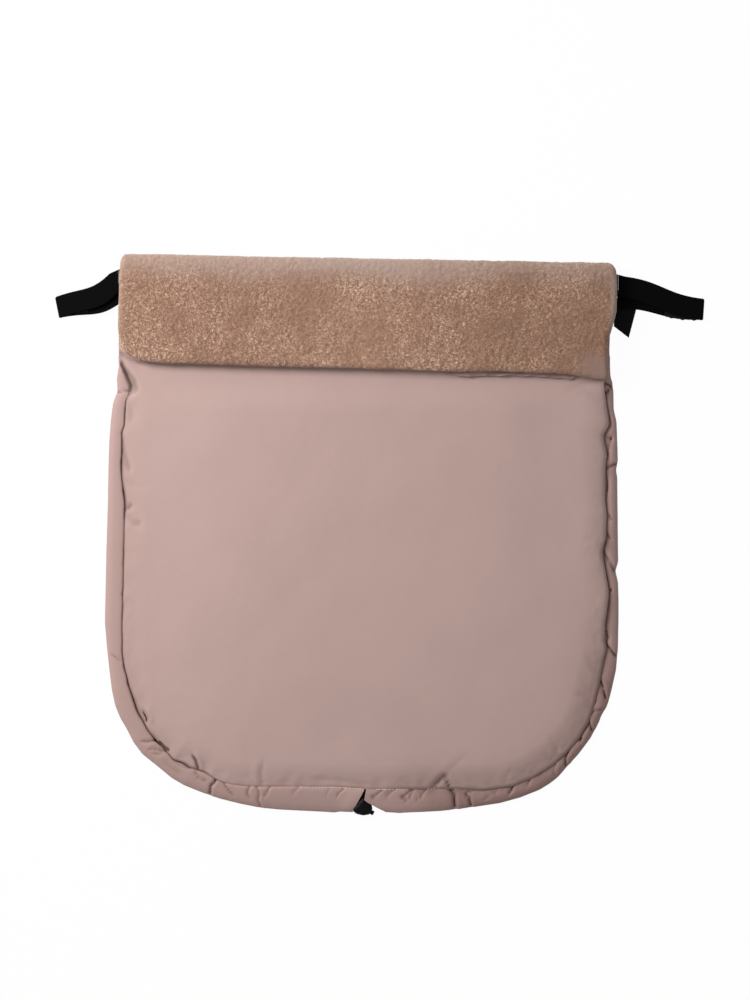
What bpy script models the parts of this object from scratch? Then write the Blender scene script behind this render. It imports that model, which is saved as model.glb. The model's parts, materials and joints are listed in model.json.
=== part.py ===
"""Car seat blanket: a padded apron with a turned-down fleece cuff.

The blanket lies flat, fleece side down on z = 0 and shell side up. Y runs from the round
lower end to the fold at the top, and X across. The origin is on the underside of the
fleece, midway between the fold and the lower edge.
"""
import math

import bmesh
import bpy
import numpy as np
from mathutils import Matrix, Vector

# Outline of the body, in metres
BODY_WIDTH = 0.600
UPPER_TAPER = 0.008
TOP_TAPER = 0.016
BODY_LENGTH = 0.649
CURVE_DEPTH = 0.2245
CURVE_POWER = 3.05
SHOULDER_BELOW_FOLD = 0.1745
SHOULDER_LENGTH = 0.080
TOP_LEAN = 0.0100

# Layers, from the surface up
FLEECE_THICK = 0.0080
WADDING_THICK = 0.0037
SHELL_THICK = 0.0012
LAYER_GAP = 0.0003

# Form of the padded panel
SEAM_HEIGHT = 0.0055
PUFF_REACH = 0.030
CROWN = 0.0040
CROWN_REACH = 0.130
HEM_LIFT = 0.0012
WADDING_INSET = 0.015
WADDING_EASE = 0.0009
WADDING_LAG = 0.020
FLATTEN_START = 0.050
FLATTEN_LENGTH = 0.038

# Gathered rim casing
RIM_WIDTH_LEFT = 0.018
RIM_WIDTH_RIGHT = 0.015
RIM_WIDTH_BOTTOM = 0.028
RIM_HEIGHT = 0.0130
RIM_WALL = 0.0010
RIM_LIFT = 0.0002
RIM_UNDER_CUFF = 0.0105
RIM_SECTION_POWER = 0.83
RIM_STEP = 0.015
SEAM_GAP = 0.0003
PLEAT_DEPTH = 0.0020
PLEAT_HEIGHT = 0.0010

# Turned-down cuff
CUFF_DEPTH = 0.1315
CUFF_CORNER = 0.014
CUFF_ROUND = 0.013
CUFF_INSET = 0.0110
CUFF_LIP = 0.0046
CUFF_LIP_ROUND = 0.0003

# Webbing straps with their hook and loop patches
WEB_WIDTH = 0.025
WEB_THICK = 0.0015
PATCH_THICK = 0.0012
PATCH_WIDTH = 0.020
STRAP_OFFSET = 0.0022
ANCHOR_LENGTH = 0.030
STRAP_FLOOR_GAP = 0.0004
STRAPS = {
    "left": {"side": -1, "below_fold": 0.0297, "length": 0.0765, "tail_gap": 0.0085,
             "angle": math.radians(23.0), "fan": math.radians(9.7),
             "bow": -0.0048, "sway": -0.0016},
    "right": {"side": 1, "below_fold": 0.0350, "length": 0.1022, "tail_gap": 0.0082,
              "angle": math.radians(15.5), "fan": math.radians(7.8),
             "bow": -0.0003, "sway": 0.0020},
}
LOOP_PATCH_SHARES = (0.28, 0.92)
HOOK_PATCH_SHARES = (0.12, 0.62)

# Side label, a bare folded tape
LABEL_BELOW_FOLD = 0.0677
LABEL_WIDTH = 0.033
LABEL_LENGTH = 0.0250
LABEL_TAPER = 0.0074
LABEL_SKEW = 0.0135
LABEL_THICK = 0.0012
LABEL_Z = 0.0040

# Slit in the casing, as distances across and heights above the lower edge
SLIT_X = 0.0047
SLIT_LEFT_FOOT = (-0.0093, 0.0025)
SLIT_RIGHT_KNEE = (0.0035, 0.0140)
SLIT_RIGHT_SHIN = (0.0128, 0.0093)
SLIT_RIGHT_FOOT = (0.0315, 0.0)

# Drawcord and its lock
CORD_DIAMETER = 0.0025
CORD_CLEARANCE = 0.0004
STRAND_SPACING = 0.0030
CORD_LIFT = 0.0006
CORD_BEND_X = 0.040
LOCK_X = 0.0030
LOCK_RISE = 0.0095
LOCK_Z = 0.0062
LOCK_YAW = math.radians(45.0)
LOCK_RADIUS = 0.0052
LOCK_BACK = 0.0110
LOCK_FRONT = 0.0092
LOCK_END_WALL = 0.0014
LOCK_EDGE = 0.0004
LOCK_TRAVEL = 0.0056
PLUNGER_RADIUS = 0.0031
PLUNGER_PROUD = 0.0032
PLUNGER_TRAVEL = 0.0020
PLUNGER_NOSE = 0.0020
RUNNING_GAP = 0.0003
SPRING_WIRE = 0.0005
SPRING_TURNS = 4
KNOT_LENGTH = 0.0060
KNOT_WIDTH = 0.0064
KNOT_HEIGHT = 0.0046

# Places worked out from the sizes above
UPPER_WIDTH = BODY_WIDTH - UPPER_TAPER
TOP_WIDTH = UPPER_WIDTH - TOP_TAPER
FOLD_Y = BODY_LENGTH / 2
LOWER_Y = -BODY_LENGTH / 2
CURVE_Y = LOWER_Y + CURVE_DEPTH
SHOULDER_Y = FOLD_Y - SHOULDER_BELOW_FOLD
LOCK_Y = LOWER_Y + LOCK_RISE
WADDING_LOW = FLEECE_THICK + LAYER_GAP
SHELL_LOW = WADDING_LOW + WADDING_THICK + LAYER_GAP
BODY_TOP = SHELL_LOW + SHELL_THICK
CUFF_LOW = BODY_TOP + WEB_THICK + 3 * LAYER_GAP
HINGE_Z = (BODY_TOP + CUFF_LOW) / 2
HINGE_Y = FOLD_Y - HINGE_Z
CUFF_EDGE_Y = FOLD_Y - CUFF_DEPTH
RIM_TOP_Y = CUFF_EDGE_Y + RIM_UNDER_CUFF
CUFF_WADDING_LOW = CUFF_LOW + SHELL_THICK + LAYER_GAP
CUFF_FLEECE_LOW = CUFF_WADDING_LOW + WADDING_THICK + LAYER_GAP
CUFF_TOP = CUFF_FLEECE_LOW + FLEECE_THICK
STACK_DROP = WEB_THICK + 2 * PATCH_THICK + 3 * LAYER_GAP


def clear_scene():
    """Remove every object of the open scene."""
    for item in list(bpy.data.objects):
        bpy.data.objects.remove(item, do_unlink=True)


def new_collection(name):
    """Return a new collection linked to the scene."""
    group = bpy.data.collections.new(name)
    bpy.context.scene.collection.children.link(group)
    return group


def new_material(name, colour, roughness):
    """Return a Principled material of one colour."""
    material = bpy.data.materials.new(name)
    material.use_nodes = True
    shader = material.node_tree.nodes["Principled BSDF"]
    shader.inputs["Base Color"].default_value = (*colour, 1.0)
    shader.inputs["Roughness"].default_value = roughness
    material.diffuse_color = (*colour, 1.0)
    return material


def place(name, data, group, material):
    """Link data as a named object with its own material."""
    item = bpy.data.objects.new(name, data)
    group.objects.link(item)
    if material is not None:
        item.data.materials.clear()
        item.data.materials.append(material)
    return item


def finish_mesh(name, bm, group, material, smooth_angle=math.radians(35)):
    """Turn a bmesh into an object with outward normals."""
    bmesh.ops.recalc_face_normals(bm, faces=bm.faces)
    data = bpy.data.meshes.new(name)
    bm.to_mesh(data)
    bm.free()
    data.shade_smooth()
    data.set_sharp_from_angle(angle=smooth_angle)
    return place(name, data, group, material)


def smooth_step(value):
    """Ease from 0 to 1 with level ends."""
    value = min(max(value, 0.0), 1.0)
    return value * value * (3 - 2 * value)


def lean(y):
    """Sideways drift of the upper part, which lies a little to the right."""
    share = max(0.0, (y - CURVE_Y) / (FOLD_Y - CURVE_Y))
    return TOP_LEAN * share ** 2


def half_width(y):
    """Half the width of the body at a height of its outline."""
    if y <= CURVE_Y:
        depth = min(1.0, (CURVE_Y - y) / CURVE_DEPTH)
        return BODY_WIDTH / 2 * (1 - depth ** CURVE_POWER) ** (1 / CURVE_POWER)
    rise = min(1.0, (y - CURVE_Y) / (SHOULDER_Y - CURVE_Y))
    upper = BODY_WIDTH / 2 - (BODY_WIDTH - UPPER_WIDTH) / 2 * rise
    shoulder = smooth_step((y - SHOULDER_Y) / SHOULDER_LENGTH + 0.5)
    return upper - (UPPER_WIDTH - TOP_WIDTH) / 2 * shoulder


def resample(points, count):
    """Space count points evenly along a polyline."""
    points = np.asarray(points)
    steps = np.linalg.norm(np.diff(points, axis=0), axis=1)
    run = np.concatenate([[0.0], np.cumsum(steps)])
    marks = np.linspace(0.0, run[-1], count)
    return np.column_stack([np.interp(marks, run, points[:, k]) for k in range(points.shape[1])])


def edge_path(end_x, dense=400):
    """Right-hand edge from the casing's top down to end_x on the lower edge."""
    side = [(half_width(y), y) for y in np.linspace(RIM_TOP_Y, CURVE_Y, dense // 2)]
    power = 2 / CURVE_POWER
    angles = np.linspace(0.0, math.pi / 2, dense)[1:]
    curve = [(BODY_WIDTH / 2 * max(0.0, math.cos(a)) ** power,
              CURVE_Y - CURVE_DEPTH * math.sin(a) ** power) for a in angles]
    path = [point for point in side + curve if point[0] > end_x]
    path.append((end_x, LOWER_Y if end_x <= 0 else path[-1][1]))
    return np.array(path)


def inward_normals(path):
    """Unit normals of a right-hand path that runs down, pointing into the body."""
    tangent = np.gradient(path, axis=0)
    tangent /= np.linalg.norm(tangent, axis=1)[:, None]
    return np.column_stack([tangent[:, 1], -tangent[:, 0]])


def rim_width(y, side):
    """Width of the rim casing: narrow along the sides, wide along the bottom."""
    along_side = RIM_WIDTH_LEFT if side < 0 else RIM_WIDTH_RIGHT
    share = smooth_step((CURVE_Y - y) / CURVE_DEPTH)
    return along_side + (RIM_WIDTH_BOTTOM - along_side) * share


def seam_points(side, count):
    """Seam between panel and casing on one side, from the casing's top to the middle."""
    path = resample(edge_path(0.0), count)
    normals = inward_normals(path)
    widths = np.array([rim_width(y, side) for y in path[:, 1]])
    seam = path + normals * widths[:, None]
    seam[-1, 0] = 0.0
    return seam * (side, 1)


def panel_outline(side_points=25, top_points=7):
    """Closed outline of the padded panel, anticlockwise from the right casing top."""
    right = seam_points(1, side_points)[::-1]
    left = seam_points(-1, side_points)
    end_y = HINGE_Y - LAYER_GAP
    jog_y = RIM_TOP_Y + RIM_WIDTH_LEFT
    rise = [(half_width(y), y) for y in (jog_y, (jog_y + end_y) / 2, end_y)]
    across = np.linspace(1.0, -1.0, top_points + 2)[1:-1]
    top = [(half_width(end_y) * share, end_y) for share in across]
    fall = [(-x, y) for x, y in rise[::-1]]
    return [tuple(point) for point in (*left[:-1], *right)] + rise + top + fall


def under_cuff(y):
    """0 on the open panel and 1 where the cuff covers it."""
    return smooth_step((y - CUFF_EDGE_Y + FLATTEN_START) / FLATTEN_LENGTH)


def shell_height(inset, y):
    """Underside of the outer shell at a distance from its seam."""
    puff = math.sin(math.pi / 2 * min(inset / PUFF_REACH, 1.0))
    crown = CROWN * smooth_step(inset / CROWN_REACH)
    free = SEAM_HEIGHT + (SHELL_LOW - SEAM_HEIGHT) * puff + crown
    return free + (SHELL_LOW - free) * under_cuff(y)


def ring(outline, inset, share, height):
    """One ring of a pad: the outline drawn in by inset, then by a share of what is left."""
    points = []
    for x, y in outline:
        reach = math.hypot(x, y)
        drawn = inset(y) if callable(inset) else inset
        drawn += (reach - drawn) * share
        scale = 1 - drawn / reach
        level = height(drawn, y * scale)
        points.append((x * scale + lean(y * scale), y * scale, level))
    return points


def bridge(bm, first, second):
    """Join two rings of as many vertices by triangles that all slant the same way."""
    count = len(first)
    for k in range(count):
        after = (k + 1) % count
        bm.faces.new((first[k], first[after], second[after]))
        bm.faces.new((first[k], second[after], second[k]))


def pad(name, lower, upper, peak, group, material):
    """A closed pad from rings on its lower and upper face, outer ring first."""
    bm = bmesh.new()
    low = [[bm.verts.new(point) for point in points] for points in lower]
    high = [[bm.verts.new(point) for point in points] for points in upper]
    bridge(bm, low[0], high[0])
    for rings in (low, high):
        for first, second in zip(rings, rings[1:]):
            bridge(bm, first, second)
    for rings, level in ((low, peak[0]), (high, peak[1])):
        if level is None:
            bm.faces.new(rings[-1])
            continue
        centre = bm.verts.new((lean(0.0), 0.0, level))
        for k, vertex in enumerate(rings[-1]):
            bm.faces.new((vertex, rings[-1][(k + 1) % len(rings[-1])], centre))
    return finish_mesh(name, bm, group, material)


def build_panel(group, palette):
    """Fleece lining, wadding and outer shell of the body."""
    outline = panel_outline()
    insets = (0.0, 0.003, 0.008, 0.015, 0.024, 0.040, 0.075)
    shares = (0.36, 0.70)
    steps = [(inset, 0.0) for inset in insets] + [(insets[-1], share) for share in shares]

    def shell_top(inset, y):
        return shell_height(inset, y) + SHELL_THICK

    def fleece_top(inset, y):
        return min(FLEECE_THICK, shell_height(inset, y) - LAYER_GAP)

    def fleece_low(inset, y):
        return HEM_LIFT * (1 - under_cuff(y)) if inset < insets[1] / 2 else 0.0

    def wadding_top(inset, y):
        cover = under_cuff(y)
        return shell_height(inset, y) - LAYER_GAP - 4 * WADDING_EASE * cover * (1 - cover)

    def wadding_low(inset, y):
        return WADDING_LOW

    def drawn_in(inset):
        open_inset = WADDING_INSET - (insets[3] - inset) / 4
        return lambda y: open_inset + (inset - open_inset) * under_cuff(y - WADDING_LAG)

    peak = shell_height(1.0, 0.0)
    pad("outer_shell",
        [ring(outline, *step, shell_height) for step in steps],
        [ring(outline, *step, shell_top) for step in steps],
        (peak, peak + SHELL_THICK), group, palette["shell"])
    inner = [(drawn_in(inset), 0.0) for inset in insets[:4]]
    inner += [step for step in steps if step[0] > WADDING_INSET]
    pad("wadding",
        [ring(outline, *inner[0], wadding_low)],
        [ring(outline, *step, wadding_top) for step in inner],
        (None, peak - LAYER_GAP), group, palette["wadding"])
    pad("lining_fleece",
        [ring(outline, *step, fleece_low) for step in steps[:2]],
        [ring(outline, *step, fleece_top) for step in steps[:4]],
        (None, None), group, palette["fleece"])


def pleat(index, side, y):
    """How deep the casing is gathered at one section, from 0 to 1."""
    calm = 0.35 if side < 0 and y > CURVE_Y else 1.0
    return calm * (0.62 * (index % 2) + 0.38 * (0.5 + 0.5 * math.sin(2.3 * index)))


def casing_sections(side, shrink, corners=12):
    """Rings of points along one casing, drawn in by the wall for its inside."""
    end_x = side * SLIT_X + SEAM_GAP / 2
    path = edge_path(end_x)
    length = np.linalg.norm(np.diff(path, axis=0), axis=1).sum()
    count = int(round(length / RIM_STEP))
    path = resample(path, count)
    normals = inward_normals(path)
    normals[0] = (-1.0, 0.0)
    normals[-1] = (0.0, 1.0)
    sections = []
    for k, (point, normal) in enumerate(zip(path, normals)):
        width = rim_width(point[1], side) - SEAM_GAP
        middle = point + normal * width / 2
        ends = 0.0 if k < 2 or k == count - 1 else 1.0
        depth = pleat(k, side, point[1]) * ends
        half = width / 2 - shrink
        rise = RIM_HEIGHT / 2 - shrink - PLEAT_HEIGHT / 2 * depth
        level = RIM_LIFT + RIM_HEIGHT / 2 - PLEAT_HEIGHT / 2 * depth
        section = []
        for corner in range(corners):
            angle = 2 * math.pi * (corner + 0.5) / corners
            across = math.copysign(abs(math.cos(angle)) ** RIM_SECTION_POWER, math.cos(angle))
            up = math.copysign(abs(math.sin(angle)) ** RIM_SECTION_POWER, math.sin(angle))
            reach = half - (PLEAT_DEPTH * depth if across > 0 else 0.0)
            x, y = middle - normal * reach * across
            section.append((side * x + lean(y), y, level + rise * up))
        sections.append(section)
    return sections


def build_casing(name, side, cutters, group, material):
    """One gathered rim casing: a cloth tube, open at both ends."""
    bm = bmesh.new()
    outer = [[bm.verts.new(p) for p in section] for section in casing_sections(side, 0.0)]
    inner = [[bm.verts.new(p) for p in section] for section in casing_sections(side, RIM_WALL)]
    for tube in (outer, inner):
        for first, second in zip(tube, tube[1:]):
            bridge(bm, first, second)
    bridge(bm, outer[0], inner[0])
    bridge(bm, outer[-1], inner[-1])
    item = finish_mesh(name, bm, group, material)
    for cutter in cutters:
        cut(item, cutter)
    return item


def cut(item, cutter):
    """Subtract a cutter from an object."""
    step = item.modifiers.new("cut_" + cutter.name, "BOOLEAN")
    step.operation = "DIFFERENCE"
    step.solver = "EXACT"
    step.object = cutter


def hide_cutter(item):
    """Mark an object as a guide that isn't part of the model."""
    item.hide_render = True
    item.display_type = "WIRE"


def flat_solid(name, outline, thickness, group, material, matrix):
    """A flat outline with a thickness, placed by a matrix, as a filled curve made a mesh."""
    data = bpy.data.curves.new(name, "CURVE")
    data.dimensions = "2D"
    data.fill_mode = "BOTH"
    data.extrude = thickness / 2
    spline = data.splines.new("POLY")
    spline.points.add(len(outline) - 1)
    for point, (x, y) in zip(spline.points, outline):
        point.co = (x, y, 0.0, 1.0)
    spline.use_cyclic_u = True
    item = place(name + "_outline", data, group, None)
    item.matrix_world = matrix
    return to_mesh(item, name, group, material)


def to_mesh(item, name, group, material):
    """Replace a curve by a welded mesh object of the same place."""
    bpy.context.view_layer.update()
    evaluated = item.evaluated_get(bpy.context.evaluated_depsgraph_get())
    data = bpy.data.meshes.new_from_object(evaluated)
    data.name = name
    bm = bmesh.new()
    bm.from_mesh(data)
    bmesh.ops.remove_doubles(bm, verts=bm.verts, dist=0.00001)
    bmesh.ops.recalc_face_normals(bm, faces=bm.faces)
    bm.to_mesh(data)
    bm.free()
    result = place(name, data, group, material)
    result.matrix_world = item.matrix_world
    bpy.data.objects.remove(item, do_unlink=True)
    return result


def slab(name, columns, rows, shape, group, material):
    """A grid with a thickness whose points are placed by shape(u, v, upper)."""
    bm = bmesh.new()
    bmesh.ops.create_grid(bm, x_segments=columns, y_segments=rows, size=1.0)
    layer = bm.verts.layers.int.new("upper")
    lifted = bmesh.ops.extrude_face_region(bm, geom=bm.faces[:])["geom"]
    for item in lifted:
        if isinstance(item, bmesh.types.BMVert):
            item[layer] = 1
    for vertex in bm.verts:
        u = vertex.co.x
        v = (vertex.co.y + 1) / 2
        vertex.co = shape(u, v, vertex[layer] == 1)
    return finish_mesh(name, bm, group, material)


def spaced(index, count, length, both_ends):
    """Distance along a grid whose first steps, or steps at both ends, are short."""
    steps = [CUFF_INSET * share for share in (0.0, 0.18, 0.45, 0.77, 0.96, 1.60)]
    last = len(steps) - 1
    if index <= last:
        return steps[index]
    if both_ends and index >= count - last:
        return length - steps[count - index]
    end = length - steps[last] if both_ends else length
    far = count - last if both_ends else count
    return steps[last] + (end - steps[last]) * (index - last) / (far - last)


def cuff_point(u, v, inset):
    """Place on the cuff of a share across and up it, with its side and edge distances."""
    low_y = CUFF_EDGE_Y + inset
    high_y = HINGE_Y - LAYER_GAP
    y = low_y + (high_y - low_y) * v
    side = half_width(y) - inset
    x = side * u
    side_gap = side - abs(x)
    edge_gap = y - low_y
    if side_gap < CUFF_CORNER and edge_gap < CUFF_CORNER:
        p = 1 - side_gap / CUFF_CORNER
        q = 1 - edge_gap / CUFF_CORNER
        x = math.copysign(side - CUFF_CORNER * (1 - p * math.sqrt(1 - q * q / 2)), u)
        y = low_y + CUFF_CORNER * (1 - q * math.sqrt(1 - p * p / 2))
    return x + lean(y), y, side_gap, edge_gap


def roundness(distance):
    """Rise of a rounded edge from 0 at the edge to 1 past its radius."""
    share = 1 - min(distance / CUFF_ROUND, 1.0)
    return math.sqrt(1 - share * share)


def build_cuff(group, palette):
    """Fleece, wadding and shell of the cuff that is turned down over the front."""
    middle = (CUFF_WADDING_LOW + CUFF_FLEECE_LOW) / 2 + LAYER_GAP
    columns = 30
    rows = 10

    def fleece(u, v, upper):
        across = 2 * half_width(CUFF_EDGE_Y)
        up = HINGE_Y - LAYER_GAP - CUFF_EDGE_Y
        u = 2 * spaced(round((u + 1) / 2 * columns), columns, across, True) / across - 1
        v = spaced(round(v * rows), rows, up, False) / up
        x, y, side_gap, edge_gap = cuff_point(u, v, 0.0)
        if upper:
            lift = roundness(side_gap) * roundness(edge_gap)
            return Vector((x, y, middle + LAYER_GAP + (CUFF_TOP - middle - LAYER_GAP) * lift))
        gap = min(side_gap, edge_gap)
        shares = (0.0, 0.2, 0.46, 0.94, 1.0)
        lip = CUFF_FLEECE_LOW - CUFF_LIP
        levels = (middle - LAYER_GAP, lip + CUFF_LIP_ROUND, lip, CUFF_FLEECE_LOW,
                  CUFF_FLEECE_LOW)
        return Vector((x, y, float(np.interp(gap / CUFF_INSET, shares, levels))))

    def layer(low, thickness):
        def shape(u, v, upper):
            x, y, _, _ = cuff_point(u, v, CUFF_INSET)
            return Vector((x, y, low + (thickness if upper else 0.0)))
        return shape

    slab("cuff_fleece", columns, rows, fleece, group, palette["fleece"])
    slab("cuff_wadding", 12, 4, layer(CUFF_WADDING_LOW, WADDING_THICK), group,
         palette["wadding"])
    slab("cuff_shell", 12, 4, layer(CUFF_LOW, SHELL_THICK), group, palette["shell"])


def half_ring(inner, outer, segments=12):
    """Outline of half a ring whose open side is the Y axis, bulging to +X."""
    angles = np.linspace(-math.pi / 2, math.pi / 2, segments + 1)
    outside = [(outer * math.cos(a), outer * math.sin(a)) for a in angles]
    inside = [(inner * math.cos(a), inner * math.sin(a)) for a in angles[::-1]]
    return outside + inside


def build_fold(group, palette):
    """The three layers where they turn round the fold, one half ring inside another."""
    radii = {"fold_shell": (HINGE_Z - BODY_TOP, HINGE_Z - SHELL_LOW, "shell"),
             "fold_wadding": (HINGE_Z - SHELL_LOW + LAYER_GAP, HINGE_Z - WADDING_LOW,
                              "wadding"),
             "fold_fleece": (HINGE_Z - FLEECE_THICK, HINGE_Z, "fleece")}
    turn = Matrix(((0, 0, 1), (1, 0, 0), (0, 1, 0))).to_4x4()
    seat = Matrix.Translation((lean(HINGE_Y), HINGE_Y, HINGE_Z)) @ turn
    for name, (inner, outer, finish) in radii.items():
        flat_solid(name, half_ring(inner, outer), 2 * half_width(HINGE_Y), group,
                   palette[finish], seat)


def strap_frame(spec):
    """Matrix of a strap's own frame at its seam, sloping down to the surface."""
    side = spec["side"]
    reach = (spec["length"] + STACK_DROP / 2) * math.cos(spec["angle"])
    reach += WEB_WIDTH / 2 * math.sin(spec["angle"])
    drop = BODY_TOP + LAYER_GAP - STACK_DROP - STRAP_FLOOR_GAP
    slope = side * math.asin(drop / reach)
    y = FOLD_Y - spec["below_fold"]
    x = side * (half_width(y) + STRAP_OFFSET) + lean(y)
    z = BODY_TOP + LAYER_GAP + WEB_THICK / 2
    return Matrix.Translation((x, y, z)) @ Matrix.Rotation(slope, 4, "Y")


def direction(side, angle):
    """Unit vectors along and across a strap that runs outward and down the page."""
    along = Vector((side * math.cos(angle), -math.sin(angle)))
    across = Vector((side * math.sin(angle), math.cos(angle)))
    return along, across


def drift(spec, distance):
    """How far a strap lies to the side of a straight line at a distance from its seam."""
    start = WEB_WIDTH / 2 * math.tan(spec["angle"]) + WEB_THICK
    share = min(max((distance - start) / (spec["length"] - start), 0.0), 1.0)
    return (spec["bow"] * math.sin(math.pi * share)
            + spec["sway"] * math.sin(2 * math.pi * share))


def strip(spec, start, along, across, ends, width, reversed_run=False, steps=10):
    """Outline of a strap's strip along a line from start, each edge between its own ends.

    ends holds the first and last distance of the lower edge, then of the upper edge. A
    reversed run starts at the strap's tip and comes back.
    """
    edges = []
    for sign, (first, last) in zip((-1, 1), ends):
        edge = []
        for k in range(steps + 1):
            distance = first + (last - first) * k / steps
            from_seam = spec["length"] - distance if reversed_run else distance
            aside = drift(spec, from_seam) + sign * width / 2
            edge.append(start + along * distance + across * aside)
        edges.append(edge)
    return edges[0] + edges[1][::-1]


def build_strap(name, spec, group, palette):
    """One strap: sewn end, base, turn at the tip, tail folded back under it, patches."""
    side = spec["side"]
    frame = strap_frame(spec)
    along, across = direction(side, spec["angle"])
    back, back_across = direction(side, spec["angle"] - spec["fan"])
    tip = along * spec["length"]
    tail_length = spec["length"] - spec["tail_gap"]
    start = WEB_THICK / 2 + LAYER_GAP

    def level(z):
        return frame @ Matrix.Translation((0.0, 0.0, z))

    def seam_end(sign):
        return (side * start - across.x * sign * WEB_WIDTH / 2) / along.x

    seam = Vector((0.0, 0.0))
    base_ends = ((seam_end(-1), spec["length"]), (seam_end(1), spec["length"]))
    base = strip(spec, seam, along, across, base_ends, WEB_WIDTH)
    flat_solid("strap_base_" + name, base, WEB_THICK, group, palette["webbing"], level(0.0))
    inner_x = side * (start - LAYER_GAP)
    outer_x = inner_x - side * (ANCHOR_LENGTH + STRAP_OFFSET)
    half = WEB_WIDTH / 2 / math.cos(spec["angle"])
    anchor = [(inner_x, -half), (inner_x, half), (outer_x, half), (outer_x, -half)]
    flat_solid("strap_anchor_" + name, anchor, WEB_THICK, group, palette["webbing"],
               Matrix.Translation(frame.translation))
    loop_drop = WEB_THICK / 2 + LAYER_GAP + PATCH_THICK / 2
    loop_ends = [spec["length"] * share for share in LOOP_PATCH_SHARES]
    loop = strip(spec, seam, along, across, (loop_ends, loop_ends), PATCH_WIDTH)
    flat_solid("loop_patch_" + name, loop, PATCH_THICK, group, palette["hook"],
               level(-loop_drop))
    hook_drop = loop_drop + PATCH_THICK + LAYER_GAP
    hook_ends = [tail_length * share for share in HOOK_PATCH_SHARES]
    hook = strip(spec, tip, -back, back_across, (hook_ends, hook_ends), PATCH_WIDTH, True)
    hook_item = flat_solid("hook_patch_" + name, hook, PATCH_THICK, group,
                           palette["hook"], level(-hook_drop))
    swing = WEB_WIDTH / 2 * math.tan(spec["fan"])
    tail_ends = ((LAYER_GAP + swing, tail_length), (LAYER_GAP - swing, tail_length))
    tail = strip(spec, tip, -back, back_across, tail_ends, WEB_WIDTH, True)
    tail_item = flat_solid("strap_tail_" + name, tail, WEB_THICK, group,
                           palette["webbing"], level(-STACK_DROP))
    pivot = frame @ Matrix.Translation((tip.x, tip.y, -STACK_DROP / 2))
    for item in (hook_item, tail_item):
        move_origin(item, pivot.translation)
    ring_outline = half_ring(STACK_DROP / 2 - WEB_THICK / 2, STACK_DROP / 2 + WEB_THICK / 2, 8)
    turn = Matrix.Identity(4)
    turn.col[0] = (along.x, along.y, 0.0, 0.0)
    turn.col[1] = (0.0, 0.0, 1.0, 0.0)
    turn.col[2] = (*Vector((along.x, along.y, 0.0)).cross(Vector((0.0, 0.0, 1.0))), 0.0)
    turn_seat = pivot @ turn @ Matrix.Translation((LAYER_GAP, 0.0, 0.0))
    flat_solid("strap_turn_" + name, ring_outline, WEB_WIDTH, group, palette["webbing"],
               turn_seat)


def move_origin(item, point):
    """Put an object's origin on a point, such as its joint's axis, and keep its shape."""
    shift = item.matrix_world.inverted() @ Vector(point)
    item.data.transform(Matrix.Translation(-shift))
    item.matrix_world = item.matrix_world @ Matrix.Translation(shift)


def build_label(group, palette):
    """The bare folded tape sewn into the right side."""
    top = FOLD_Y - LABEL_BELOW_FOLD + LABEL_WIDTH / 2
    low = FOLD_Y - LABEL_BELOW_FOLD - LABEL_WIDTH / 2

    def edge(y):
        return half_width(y) + lean(y) + SEAM_GAP

    outline = [(edge(top), top), (edge(low), low),
               (edge(low) + LABEL_LENGTH - LABEL_TAPER, low - LABEL_SKEW),
               (edge(top) + LABEL_LENGTH, top - LABEL_SKEW)]
    flat_solid("side_label", outline, LABEL_THICK, group, palette["label"],
               Matrix.Translation((0.0, 0.0, LABEL_Z + LABEL_THICK / 2)))


def lock_frame():
    """Matrix of the cord lock: X along its barrel, Y back along the cords."""
    return Matrix.Translation((LOCK_X, LOCK_Y, LOCK_Z)) @ Matrix.Rotation(LOCK_YAW, 4, "Z")


def solid_cylinder(name, radius, first, last, frame, group, material, segments=32):
    """A cylinder along X of a frame, between two distances."""
    bm = bmesh.new()
    matrix = Matrix.Translation(((first + last) / 2, 0.0, 0.0)) @ Matrix.Rotation(
        math.pi / 2, 4, "Y")
    bmesh.ops.create_cone(bm, cap_ends=True, segments=segments, radius1=radius,
                          radius2=radius, depth=abs(last - first), matrix=matrix)
    item = finish_mesh(name, bm, group, material)
    item.matrix_world = frame
    return item


def solid_box(name, low, high, frame, group):
    """A box between two corners of a frame, for cutting."""
    bm = bmesh.new()
    size = [b - a for a, b in zip(low, high)]
    centre = [(a + b) / 2 for a, b in zip(low, high)]
    matrix = Matrix.Translation(centre) @ Matrix.Diagonal((*size, 1.0))
    bmesh.ops.create_cube(bm, size=1.0, matrix=matrix)
    item = finish_mesh(name, bm, group, None)
    item.matrix_world = frame
    hide_cutter(item)
    return item


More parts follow.
